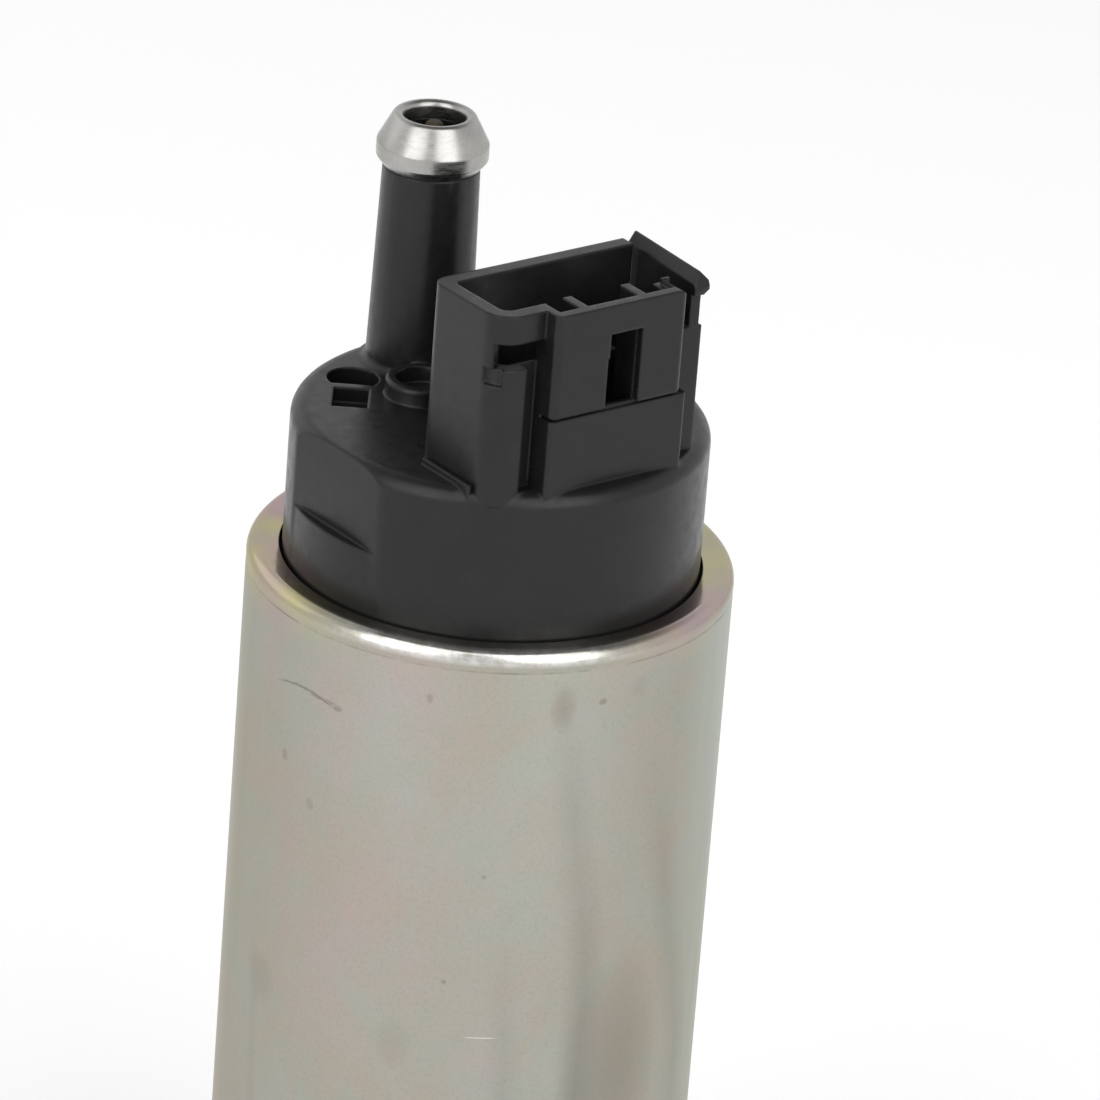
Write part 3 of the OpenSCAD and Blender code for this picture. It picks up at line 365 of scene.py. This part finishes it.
class Finish:
    """Builds one material around a shader that reads the piece's own place."""

    def __init__(self, name):
        self.material = bpy.data.materials.new(name)
        self.material.use_nodes = True
        self.tree = self.material.node_tree
        self.tree.nodes.clear()
        output = self.tree.nodes.new("ShaderNodeOutputMaterial")
        self.shader = self.tree.nodes.new("ShaderNodeBsdfPrincipled")
        self.feed(self.shader.outputs["BSDF"], output.inputs["Surface"])
        self.place = self.tree.nodes.new("ShaderNodeTexCoord").outputs["Object"]

    def feed(self, value, socket):
        """Links a source to a socket, or writes a number or a colour on it."""
        if isinstance(value, bpy.types.NodeSocket):
            self.tree.links.new(value, socket)
        elif socket.type == "RGBA":
            socket.default_value = (*value[:3], 1)
        else:
            socket.default_value = value

    def set(self, **values):
        """Sources and constants for the shader's own sockets."""
        for key, value in values.items():
            self.feed(value, self.shader.inputs[key.replace("_", " ")])

    def node(self, kind, **values):
        """A node of this kind, with sources and constants for its sockets."""
        node = self.tree.nodes.new(kind)
        for key, value in values.items():
            self.feed(value, node.inputs[key.replace("_", " ")])
        return node

    def stretch(self, scale):
        """The place, stretched along its three axes."""
        return self.node("ShaderNodeMapping", Scale=scale, Vector=self.place).outputs["Vector"]

    def noise(self, scale, detail=3.0, roughness=0.55, source=None, distortion=0.0):
        """Noise of about this many patches in a metre, from 0 to 1 and 0.5 on average."""
        return self.node(
            "ShaderNodeTexNoise", Scale=scale, Detail=detail, Roughness=roughness,
            Distortion=distortion, Vector=source or self.place).outputs["Fac"]

    def span(self, source, low, high, to_low=0.0, to_high=1.0):
        """The source, taken from low..high to to_low..to_high and held there outside."""
        return self.node(
            "ShaderNodeMapRange", From_Min=low, From_Max=high, To_Min=to_low, To_Max=to_high,
            Value=source).outputs["Result"]

    def maths(self, operation, *values):
        """One operation on sources and numbers."""
        node = self.node("ShaderNodeMath")
        node.operation = operation
        for socket, value in zip(node.inputs, values):
            self.feed(value, socket)
        return node.outputs["Value"]

    def product(self, first, *others):
        """All of these multiplied."""
        for other in others:
            first = self.maths("MULTIPLY", first, other)
        return first

    def axis(self, letter, source=None):
        """One coordinate of the place, or of another source."""
        return self.node("ShaderNodeSeparateXYZ", Vector=source or self.place).outputs[letter]

    def blend(self, amount, a, b):
        """Colour a where amount is 0 and colour b where it is 1."""
        node = self.node("ShaderNodeMix")
        node.data_type = "RGBA"
        colours = {socket.name: socket for socket in node.inputs if socket.type == "RGBA"}
        self.feed(amount, node.inputs["Factor"])
        self.feed(a, colours["A"])
        self.feed(b, colours["B"])
        return next(socket for socket in node.outputs if socket.type == "RGBA")

    def mottle(self, source, low, high, colour, dark, light):
        """The colour, from a dark share of it where the source is low to a light share."""
        return self.blend(self.span(source, low, high), shade(colour, dark), shade(colour, light))

    def around(self, facing):
        """Angle round the upright axis from the direction facing, in radians, and the height."""
        turned = self.node(
            "ShaderNodeMapping", Rotation=(0, 0, -facing), Vector=self.place).outputs["Vector"]
        angle = self.maths("ARCTAN2", self.axis("Y", turned), self.axis("X", turned))
        return angle, self.axis("Z", turned)

    def mark(self, angle, height, centre, half_size, bend, fade):
        """A mask for one mark on the can: an ellipse, or a thin line that bends up or down."""
        across = self.maths("SUBTRACT", angle, centre[0])
        rise = self.maths("SUBTRACT", height, centre[1])
        rise = self.maths("SUBTRACT", rise, self.product(across, across, bend))
        across = self.maths("DIVIDE", across, half_size[0])
        rise = self.maths("DIVIDE", rise, half_size[1])
        outward = self.maths("ADD", self.product(across, across), self.product(rise, rise))
        return self.span(outward, fade, 1, 1, 0)

    def streak(self, angle, height, top, foot, half_width):
        """A mask for a soft upright streak of painted shade, which fades in from its top to half
        way down.
        """
        line = self.span(height, top[1], foot[1], top[0], foot[0])
        across = self.maths("ABSOLUTE", self.maths("SUBTRACT", angle, line))
        side = self.span(across, 0, half_width, 1, 0)
        rise = self.span(height, top[1], (top[1] + foot[1]) / 2)
        return self.product(side, rise)

    def soft_edges(self, radius, samples=6):
        """The surface's direction, turned evenly round every edge over this radius."""
        node = self.node("ShaderNodeBevel", Radius=radius)
        node.samples = samples
        return node.outputs["Normal"]

    def bump(self, height, strength, distance, normal=None):
        """Fine relief on the shader, over the surface's own direction or a given one."""
        node = self.node("ShaderNodeBump", Strength=strength, Distance=distance, Height=height)
        if normal:
            self.feed(normal, node.inputs["Normal"])
        self.set(Normal=node.outputs["Normal"])


# Marks on the can: angle from the camera's side in degrees and height in millimetres, half of
# the size in the same units, rise of the ends in millimetres for each radian squared, strength
SCRATCHES = (
    ((-44.5, 73.05), (11.3, 0.13), -20.0, 0.55),
    ((-38.5, 72.9), (5.0, 0.20), -20.0, 0.35),
    ((-34.0, 72.5), (1.5, 0.30), 0.0, 0.40),
    ((-11.0, 75.5), (1.0, 0.45), 0.0, 0.30),
    ((30.0, 75.3), (1.2, 0.35), 0.0, 0.40),
    ((-3.0, 51.0), (0.8, 0.25), 0.0, 0.40),
    ((4.5, 60.6), (0.8, 0.25), 0.0, 0.30),
    ((-50.0, 66.5), (1.2, 0.60), 0.0, 0.28),
    ((-40.5, 63.5), (1.4, 0.55), 0.0, 0.22),
)
SMUDGES_AND_SHADOW = (
    ((20.2, 75.1), (3.4, 2.2), 0.0, 0.30),
    ((40.0, 76.0), (3.0, 1.0), 0.0, 0.14),
    ((-54.0, 46.0), (6.0, 2.5), 0.0, 0.16),
    ((-14.0, 45.0), (5.0, 2.5), 0.0, 0.12),
    # This last smudge is painted shade: a broad darkening low on the can's right side.
    ((41.0, 41.0), (15.0, 12.0), 0.0, 0.38),
)
PALE_SCRATCHES = (
    ((6.5, 46.25), (4.4, 0.06), 0.0, 0.5),
)
# Soft streaks of painted shade, darker downwards: angle and height of the top and of the foot,
# half width in degrees, strength
SHADE_STREAKS = (
    ((19.0, 79.0), (31.0, 52.0), 6.0, 0.20),
    ((31.0, 62.0), (31.0, 34.0), 6.0, 0.20),
    ((44.0, 72.0), (66.0, 42.0), 7.0, 0.20),
    ((10.0, 58.0), (14.0, 34.0), 5.0, 0.16),
    ((-58.0, 52.0), (-55.0, 34.0), 3.0, 0.12),
)
# Line where the rim was folded: its drop from the crest in millimetres, half of its width,
# and an angle in radians that is wide enough to carry it all round
FOLD_DROP = 1.75
FOLD_HALF = 0.10 * MM
ALL_ROUND = 9


def below_crest(drop):
    """The height that is this many millimetres below the can's crest."""
    return RIM_Z - drop * MM


def on_can(angle, height):
    """A place or a size on the can, from degrees and millimetres."""
    return math.radians(angle), height * MM


def plated_tone(f, colours):
    """The plating's own tone: warm, cool and pink patches under a fine grain."""
    broad = f.span(f.noise(70, 4, 0.6, distortion=0.5), 0.40, 0.62)
    tone = f.blend(f.product(broad, 0.9), colours.zinc, colours.zinc_warm)
    patches = f.span(f.noise(160, 4, 0.65, distortion=0.8), 0.46, 0.66)
    tone = f.blend(f.product(patches, 0.6), tone, colours.zinc_cool)
    blush = f.span(f.noise(95, 4, 0.65, source=f.stretch((1, 1, 0.5))), 0.52, 0.72, 0, 0.5)
    tone = f.blend(blush, tone, colours.film_pink)
    grain = f.noise(3600, 3, 0.65)
    tone = f.blend(f.span(grain, 0.5, 0.72, 0, 0.16), tone, colours.zinc_grain_and_shade)
    return f.blend(f.span(grain, 0.5, 0.3, 0, 0.10), tone, colours.film_yellow)


def rim_films_and_edge_highlight(f, tone, colours, angle, height):
    """Pink and yellow film at the rolled rim, faint at the front, and a lighter blue film tint
    that is partly a painted highlight along the can's right edge.
    """
    film = f.blend(f.span(f.noise(75, 2, 0.5), 0.42, 0.56), colours.film_pink, colours.film_yellow)
    rim = f.product(
        f.span(height, below_crest(3.6), below_crest(0.2)),
        f.span(f.noise(110), 0.30, 0.55, 0.35, 1.0),
        f.span(f.maths("ABSOLUTE", angle), 0.5, 0.9, 0.12, 1.0))
    tone = f.blend(rim, tone, film)
    # Painted highlight: lighter blue along the can's right edge, stronger towards the rim.
    side = f.product(
        f.span(angle, 0.95, 1.3),
        f.span(height, below_crest(40), below_crest(3), 0.35, 0.9),
        f.span(height, below_crest(1.6), below_crest(0.8), 1, 0.1),
        f.span(angle, 1.5, 2.6, 1, 0))
    return f.blend(side, tone, colours.film_blue_and_edge_highlight)


def rim_highlight_and_fold(f, tone, colours, angle, height):
    """Painted highlight of lighter metal on the crest at the front, and a broken line at the fold.
    """
    # Painted highlight: lighter metal on the crest, on the side the camera faces.
    highlighted = f.product(
        f.span(f.maths("ABSOLUTE", angle), 0.75, 0.45),
        f.span(height, below_crest(1.35), below_crest(0.9)),
        f.span(f.noise(900, 4, 0.7), 0.38, 0.6, 0.35, 1))
    tone = f.blend(highlighted, tone, colours.zinc_front_highlight)
    fold = f.mark(angle, height, (0, below_crest(FOLD_DROP)), (ALL_ROUND, FOLD_HALF), 0, 0.2)
    fold = f.product(fold, f.span(f.noise(260, 4, 0.7), 0.38, 0.62, 0.0, 0.5))
    return f.blend(fold, tone, colours.stain_and_shadow)


def add_marks(f, tone, colour, marks, angle, height, fade):
    """The tone with a table of marks in one colour on it."""
    for centre, half, bend, strength in marks:
        spot = f.mark(angle, height, on_can(*centre), on_can(*half), bend * MM, fade)
        tone = f.blend(f.product(spot, strength), tone, colour)
    return tone


def can_marks_and_shade(f, tone, colours, angle, height):
    """Smudges and scratches with uneven outlines, among them a broad painted shade low on the
    right, soft streaks of painted shade and one clean pale scratch.
    """
    wobble = f.span(f.noise(900, 3, 0.6), 0.3, 0.7, -0.1 * MM, 0.1 * MM)
    uneven = f.maths("ADD", height, wobble)
    tone = add_marks(f, tone, colours.stain_and_shadow, SMUDGES_AND_SHADOW, angle, uneven, 0.0)
    tone = add_marks(f, tone, colours.stain_and_shadow, SCRATCHES, angle, uneven, 0.35)
    for top, foot, half, strength in SHADE_STREAKS:
        # Painted shade: soft dark streaks down the can's side.
        soft = f.streak(angle, uneven, on_can(*top), on_can(*foot), math.radians(half))
        tone = f.blend(f.product(soft, strength), tone, colours.zinc_grain_and_shade)
    return add_marks(f, tone, colours.zinc_scraped, PALE_SCRATCHES, angle, height, 0.4)


def plated_roughness(f, height):
    """Drawn lines down the can, and a smooth crest that is scuffed in places."""
    drawn = f.span(f.noise(260, 4, 0.6, source=f.stretch((1, 1, 0.08))), 0.3, 0.7, 0.30, 0.40)
    crest = f.span(height, below_crest(1.4), below_crest(0.3), 0, 0.22)
    scuffs = f.product(
        f.span(f.noise(700, 4, 0.7, source=f.stretch((1, 1, 3))), 0.35, 0.65, 0.0, 0.10),
        f.span(height, below_crest(1.5), below_crest(0.9)))
    return f.maths("ADD", f.maths("SUBTRACT", drawn, crest), scuffs)


def zinc_plating(colours, facing):
    """Yellow-tinted zinc on drawn sheet: faint patches, a coloured film at the rim, few marks,
    painted highlights at the front crest and the right edge, and painted shade on the right side.
    """
    f = Finish("zinc_plating")
    angle, height = f.around(facing)
    tone = plated_tone(f, colours)
    for layer in (rim_films_and_edge_highlight, rim_highlight_and_fold, can_marks_and_shade):
        tone = layer(f, tone, colours, angle, height)
    f.set(Metallic=1.0, Specular_Tint=(0.8, 0.78, 0.72), Base_Color=tone,
          Roughness=plated_roughness(f, height))
    f.bump(f.noise(2600, 3, 0.6, source=f.stretch((1, 1, 0.35))), 0.10, 0.02 * MM)
    return f.material


def satin_moulding(name, colour, gloss=0.31):
    """Glass-filled plastic with a fine satin grain and edges that look softened."""
    f = Finish(name)
    f.set(Specular_IOR_Level=0.29,
          Base_Color=f.mottle(f.noise(420, 4, 0.6), 0.35, 0.7, colour, 0.88, 1.14),
          Roughness=f.span(f.noise(900, 3, 0.5), 0.3, 0.7, gloss - 0.05, gloss + 0.07))
    f.bump(f.noise(6500, 3, 0.6), 0.10, 0.02 * MM, f.soft_edges(0.32 * MM))
    return f.material


def bare_metal(name, colour, rough, grain=(1, 1, 1), wear=0.12):
    """Metal with a directional grain and slightly uneven tone."""
    f = Finish(name)
    lines = f.noise(1500, 3, 0.6, source=f.stretch(grain))
    f.set(Metallic=1.0,
          Base_Color=f.mottle(f.noise(300, 4, 0.6), 0.35, 0.7, colour, 1 - wear, 1 + wear),
          Roughness=f.span(lines, 0.3, 0.7, rough - 0.06, rough + 0.08))
    f.bump(lines, 0.15, 0.015 * MM)
    return f.material


def dull_solid(name, colour, rough):
    """Rubber, carbon, resin or magnet: no metal gloss, a speckled tone."""
    f = Finish(name)
    speckle = 900
    f.set(Base_Color=f.mottle(f.noise(speckle, 5, 0.7), 0.3, 0.75, colour, 0.75, 1.3),
          Roughness=rough)
    f.bump(f.noise(3 * speckle, 3, 0.6), 0.2, 0.03 * MM)
    return f.material


def sheet_stack(name, colour):
    """Steel sheets stacked along Z, seen as fine level lines."""
    f = Finish(name)
    lines = f.maths("SINE", f.product(f.axis("Z"), 2 * math.pi / SHEET))
    f.set(Metallic=1.0, Roughness=0.42, Base_Color=f.mottle(lines, -1, 1, colour, 0.6, 1))
    f.bump(lines, 0.4, 0.04 * MM)
    return f.material


def wound_wire(name, colour):
    """Enamelled copper wire, seen as a dense bundle."""
    f = Finish(name)
    strands = f.noise(1400, 3, 0.5, source=f.stretch((1, 1, 0.25)), distortion=0.6)
    f.set(Metallic=0.85, Roughness=0.32, Coat_Weight=0.6, Coat_Roughness=0.15,
          Base_Color=f.mottle(strands, 0.35, 0.65, colour, 0.45, 1))
    f.bump(strands, 0.6, 0.1 * MM)
    return f.material


def inner_finishes():
    """Each finish inside the pump, with the nodes that have it."""
    core_steel = (0.44, 0.44, 0.45)
    return {
        bare_metal("ground_steel", (0.56, 0.56, 0.57), 0.22, (1, 1, 6)):
            ("motor_shaft", "relief_ball"),
        bare_metal("sintered_gear_steel", (0.30, 0.30, 0.31), 0.42):
            ("outer_gear", "inner_gear"),
        bare_metal("oiled_steel", core_steel, 0.38):
            ("flux_ring", "pump_dowels"),
        bare_metal("anodised_plate", (0.22, 0.23, 0.25), 0.45):
            ("pump_ring", "port_plate"),
        bare_metal("spring_wire", (0.55, 0.55, 0.57), 0.25):
            ("brush_spring_left", "brush_spring_right", "check_spring", "relief_spring",
             "magnet_clips"),
        bare_metal("sintered_bronze", (0.50, 0.33, 0.16), 0.45):
            ("lower_bearing", "upper_bearing", "thrust_pad"),
        bare_metal("turned_brass", (0.44, 0.36, 0.16), 0.32):
            ("relief_seat",),
        # Very dark brass for the check valve, which sits deep in the tube's mouth.
        bare_metal("dark_brass", (0.06, 0.05, 0.03), 0.5):
            ("check_valve",),
        bare_metal("bare_copper", (0.62, 0.32, 0.20), 0.3):
            ("commutator_bars", "brush_lead_left", "brush_lead_right"),
        dull_solid("ferrite", (0.035, 0.035, 0.037), 0.6):
            ("magnet_left", "magnet_right"),
        dull_solid("pressed_carbon", (0.02, 0.02, 0.021), 0.5):
            ("brush_left", "brush_right"),
        dull_solid("seal_rubber", (0.012, 0.012, 0.012), 0.55):
            ("can_seal_ring", "cover_seal_ring"),
        dull_solid("brown_resin", (0.12, 0.05, 0.02), 0.45):
            ("commutator_hub",),
        sheet_stack("core_sheets", core_steel):
            ("armature_core",),
        wound_wire("enamelled_wire", (0.45, 0.15, 0.045)):
            ("armature_windings",),
    }


# Stage


def pale_floor(stage):
    """A matt material, lifted towards white for the camera and in gloss and glass."""
    material = bpy.data.materials.new("pale_floor")
    material.use_nodes = True
    tree = material.node_tree
    tree.nodes.clear()
    output = tree.nodes.new("ShaderNodeOutputMaterial")
    matt = tree.nodes.new("ShaderNodeBsdfDiffuse")
    matt.inputs["Color"].default_value = (stage.floor_tone,) * 3 + (1,)
    glow = tree.nodes.new("ShaderNodeEmission")
    glow.inputs["Strength"].default_value = stage.floor_glow
    path = tree.nodes.new("ShaderNodeLightPath")
    seen = path.outputs["Is Camera Ray"]
    for ray in ("Is Glossy Ray", "Is Transmission Ray"):
        either = tree.nodes.new("ShaderNodeMath")
        either.operation = "MAXIMUM"
        tree.links.new(seen, either.inputs[0])
        tree.links.new(path.outputs[ray], either.inputs[1])
        seen = either.outputs[0]
    lifted = tree.nodes.new("ShaderNodeAddShader")
    tree.links.new(matt.outputs[0], lifted.inputs[0])
    tree.links.new(glow.outputs[0], lifted.inputs[1])
    mix = tree.nodes.new("ShaderNodeMixShader")
    tree.links.new(seen, mix.inputs["Fac"])
    tree.links.new(matt.outputs[0], mix.inputs[1])
    tree.links.new(lifted.outputs[0], mix.inputs[2])
    tree.links.new(mix.outputs[0], output.inputs["Surface"])
    return material


def make_floor(stage):
    """A flat floor at height 0, where the pump stands."""
    bm = bmesh.new()
    bmesh.ops.create_grid(bm, x_segments=1, y_segments=1, size=FLOOR_REACH)
    floor = link_object("floor", bm)
    paint(floor, pale_floor(stage))


def make_surroundings(scene, stage):
    """Bright walls under a darker ceiling."""
    world = bpy.data.worlds.new("surroundings")
    world.use_nodes = True
    tree = world.node_tree
    background = tree.nodes["Background"]
    background.inputs["Color"].default_value = (1, 1, 1, 1)
    place = tree.nodes.new("ShaderNodeTexCoord")
    split = tree.nodes.new("ShaderNodeSeparateXYZ")
    tree.links.new(place.outputs["Generated"], split.inputs["Vector"])
    height = tree.nodes.new("ShaderNodeMapRange")
    height.interpolation_type = "SMOOTHSTEP"
    for key, value in zip(("From Min", "From Max", "To Min", "To Max"),
                          (WALL_TOP, CEILING_EDGE, stage.walls, stage.ceiling)):
        height.inputs[key].default_value = value
    tree.links.new(split.outputs["Z"], height.inputs["Value"])
    tree.links.new(height.outputs["Result"], background.inputs["Strength"])
    scene.world = world


def area_light(name, azimuth, elevation, distance, size, power):
    """A soft light that is turned to the pump's middle and stands at these angles from it."""
    a, e = math.radians(azimuth), math.radians(elevation)
    away = Vector((math.cos(a) * math.cos(e), math.sin(a) * math.cos(e), math.sin(e))) * distance
    data = bpy.data.lights.new(name, "AREA")
    data.shape = "RECTANGLE"
    data.size, data.size_y = size
    data.energy = power
    light = bpy.data.objects.new(name, data)
    bpy.context.scene.collection.objects.link(light)
    light.location = LIGHTS_AIM + away
    light.rotation_euler = (-away).to_track_quat("-Z", "Y").to_euler()


def make_camera(scene, stage):
    """A camera at the photograph's angle, rolled by a few degrees."""
    forward = Vector((math.sin(stage.turn) * math.cos(stage.tilt),
                      math.cos(stage.turn) * math.cos(stage.tilt), -math.sin(stage.tilt)))
    level = Vector((math.cos(stage.turn), -math.sin(stage.turn), 0))
    down = forward.cross(level)
    c, s = math.cos(stage.roll), math.sin(stage.roll)
    right = c * level - s * down
    up = -(s * level + c * down)
    data = bpy.data.cameras.new("camera")
    data.lens = stage.lens
    data.sensor_width = SENSOR
    data.clip_start, data.clip_end = CAMERA_NEAR, CAMERA_FAR
    camera = bpy.data.objects.new("camera", data)
    scene.collection.objects.link(camera)
    turn = Matrix((right, up, -forward)).transposed()
    camera.matrix_world = Matrix.Translation(stage.eye) @ turn.to_4x4()
    scene.camera = camera


# Operators


class PUMP_OT_can(bpy.types.Operator):
    """Make the rolled steel can with its zinc finish"""

    bl_idname = "pump.can"
    bl_label = "Steel can"

    def execute(self, context):
        sizes = context.scene.pump_sizes
        r, wall, dip, lip = sizes.can_shoulder, sizes.can_wall, sizes.lip_dip, sizes.lip_reach
        edge = sizes.lip_edge
        low, high = CAN_LOW.z, CAN_HIGH.z
        mid = CAN_R - r
        slope = 90 - math.degrees(math.atan2(dip, mid - lip))
        outline = [(lip, low + dip)]
        outline += arc((mid, low + r), r, -90, 0)
        outline += [(CAN_R - sizes.can_dent * share, high - r - drop * MM) for drop, share in DENT]
        outline += arc((mid, high - r), r, 0, 90)
        outline += arc((lip + edge, high - dip - edge), edge, slope, 180, 4)
        outline += [(lip, high - dip - wall)]
        outline += arc((mid, high - r), r - wall, 90, 0)
        outline += arc((mid, low + r), r - wall, 0, -90)
        outline += [(lip, low + dip + wall)]
        can = turned_piece("can_shell", outline, sizes.round_steps)
        facing = -math.pi / 2 - context.scene.pump_stage.turn
        paint(can, zinc_plating(context.scene.pump_colours, facing))
        take_place(can, "housing_can")
        return {"FINISHED"}


class PUMP_OT_cover(bpy.types.Operator):
    """Round the edges of the black outlet cover and give it its satin finish"""

    bl_idname = "pump.cover"
    bl_label = "Outlet cover"

    def execute(self, context):
        width = context.scene.pump_sizes.moulded_edge
        black = satin_moulding("black_moulding", context.scene.pump_colours.moulding)
        cover = softened_copy("cover_moulding", "outlet_cover", width)
        paint(cover, black)
        paint(NODES["check_guide"], black)
        return {"FINISHED"}


class PUMP_OT_tip(bpy.types.Operator):
    """Make the turned metal tip of the outlet tube"""

    bl_idname = "pump.tip"
    bl_label = "Outlet tip"

    def execute(self, context):
        sizes = context.scene.pump_sizes
        low, high = TIP_LOW.z, TIP_HIGH.z
        sleeve, mouth, edge = sizes.tip_sleeve / 2, sizes.tip_bore / 2, sizes.tip_edge
        band = (TIP_R - edge, low + sizes.tip_band)
        nose = (mouth + edge, high - edge)
        slope = math.degrees(math.atan2(band[0] - nose[0], nose[1] - band[1]))
        outline = [(sleeve, low)]
        outline += [(TIP_R - inset * MM, low + rise * MM) for inset, rise in TIP_FOOT]
        outline += arc((TIP_R - TIP_FLANK, low + TIP_FLANK_RISE), TIP_FLANK, -35, 0, 4)
        outline += arc(band, edge, 0, slope, 6)
        outline += arc(nose, edge, slope, 180, 14)
        outline += [(mouth, high - sizes.tip_mouth), (sleeve, high - sizes.tip_mouth)]
        tip = turned_piece("tip_sleeve", outline, sizes.round_steps, (TIP_MID.x, TIP_MID.y))
        paint(tip, bare_metal("turned_steel", context.scene.pump_colours.tip, 0.28, (0.6, 0.6, 3)))
        take_place(tip, "outlet_tip")
        return {"FINISHED"}


class PUMP_OT_suction(bpy.types.Operator):
    """Round the suction casting's edges and give it its cast finish"""

    bl_idname = "pump.suction"
    bl_label = "Suction casting"

    def execute(self, context):
        width = context.scene.pump_sizes.cast_edge
        casting = softened_copy("casting_body", "suction_casting", width)
        paint(casting, bare_metal("die_cast_metal", (0.50, 0.50, 0.51), 0.42, wear=0.2))
        return {"FINISHED"}


class PUMP_OT_terminals(bpy.types.Operator):
    """Round the two terminals' edges and give them their tinned finish"""

    bl_idname = "pump.terminals"
    bl_label = "Terminals"

    def execute(self, context):
        width = context.scene.pump_sizes.stamped_edge
        tinned = bare_metal("tinned_brass", (0.52, 0.49, 0.40), 0.3, (8, 8, 0.5))
        for side in ("left", "right"):
            blade = softened_copy(f"blade_{side}", f"terminal_{side}", width)
            paint(blade, tinned)
        return {"FINISHED"}


class PUMP_OT_inside(bpy.types.Operator):
    """Give the motor, the gears and the valves inside their finishes"""

    bl_idname = "pump.inside"
    bl_label = "Inner pieces"

    def execute(self, context):
        for material, names in inner_finishes().items():
            for name in names:
                paint(NODES[name], material)
        return {"FINISHED"}


class PUMP_OT_springs(bpy.types.Operator):
    """Copy each spring and lead into a piece of its own in its finish, shown in place of its node
    """

    bl_idname = "pump.springs"
    bl_label = "Springs and leads"

    def execute(self, context):
        for node, body in SPRINGS.items():
            wire = link_piece(f"{node}_wire", merged_mesh(node))
            paint(wire, NODES[node].data.materials[0])
            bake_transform(wire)
            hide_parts(node)
        return {"FINISHED"}


class PUMP_OT_stage(bpy.types.Operator):
    """Set up the pale floor, the soft lights and the camera"""

    bl_idname = "pump.stage"
    bl_label = "Studio"

    def execute(self, context):
        stage = context.scene.pump_stage
        make_floor(stage)
        make_surroundings(context.scene, stage)
        for name, settings in LIGHTS.items():
            area_light(name, *settings)
        make_camera(context.scene, stage)
        context.scene.view_settings.view_transform = "Standard"
        return {"FINISHED"}


# Sidebar and registration


class PUMP_PT_panel(bpy.types.Panel):
    """Lists the steps that dress the pump"""

    bl_label = "Fuel pump"
    bl_idname = "PUMP_PT_panel"
    bl_space_type = "VIEW_3D"
    bl_region_type = "UI"
    bl_category = "Fuel pump"

    def draw(self, context):
        for group in ("pump_sizes", "pump_colours", "pump_stage"):
            settings = getattr(context.scene, group)
            box = self.layout.box()
            for key in settings.__annotations__:
                box.prop(settings, key)
        for step in STEPS:
            self.layout.operator(step.bl_idname)


STEPS = (PUMP_OT_can, PUMP_OT_cover, PUMP_OT_tip, PUMP_OT_suction, PUMP_OT_terminals,
         PUMP_OT_inside, PUMP_OT_springs, PUMP_OT_stage)
CLASSES = (PumpSizes, PumpColours, StageSettings, *STEPS, PUMP_PT_panel)


def register():
    """Adds the settings, the steps and the sidebar."""
    for cls in CLASSES:
        bpy.utils.register_class(cls)
    bpy.types.Scene.pump_sizes = PointerProperty(type=PumpSizes)
    bpy.types.Scene.pump_colours = PointerProperty(type=PumpColours)
    bpy.types.Scene.pump_stage = PointerProperty(type=StageSettings)


def unregister():
    """Takes away what register adds."""
    del bpy.types.Scene.pump_stage
    del bpy.types.Scene.pump_colours
    del bpy.types.Scene.pump_sizes
    for cls in reversed(CLASSES):
        bpy.utils.unregister_class(cls)


def main():
    """Runs every step in order."""
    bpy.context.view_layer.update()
    register()
    for step in STEPS:
        group, name = step.bl_idname.split(".")
        getattr(getattr(bpy.ops, group), name)()


if __name__ == "__main__":
    main()
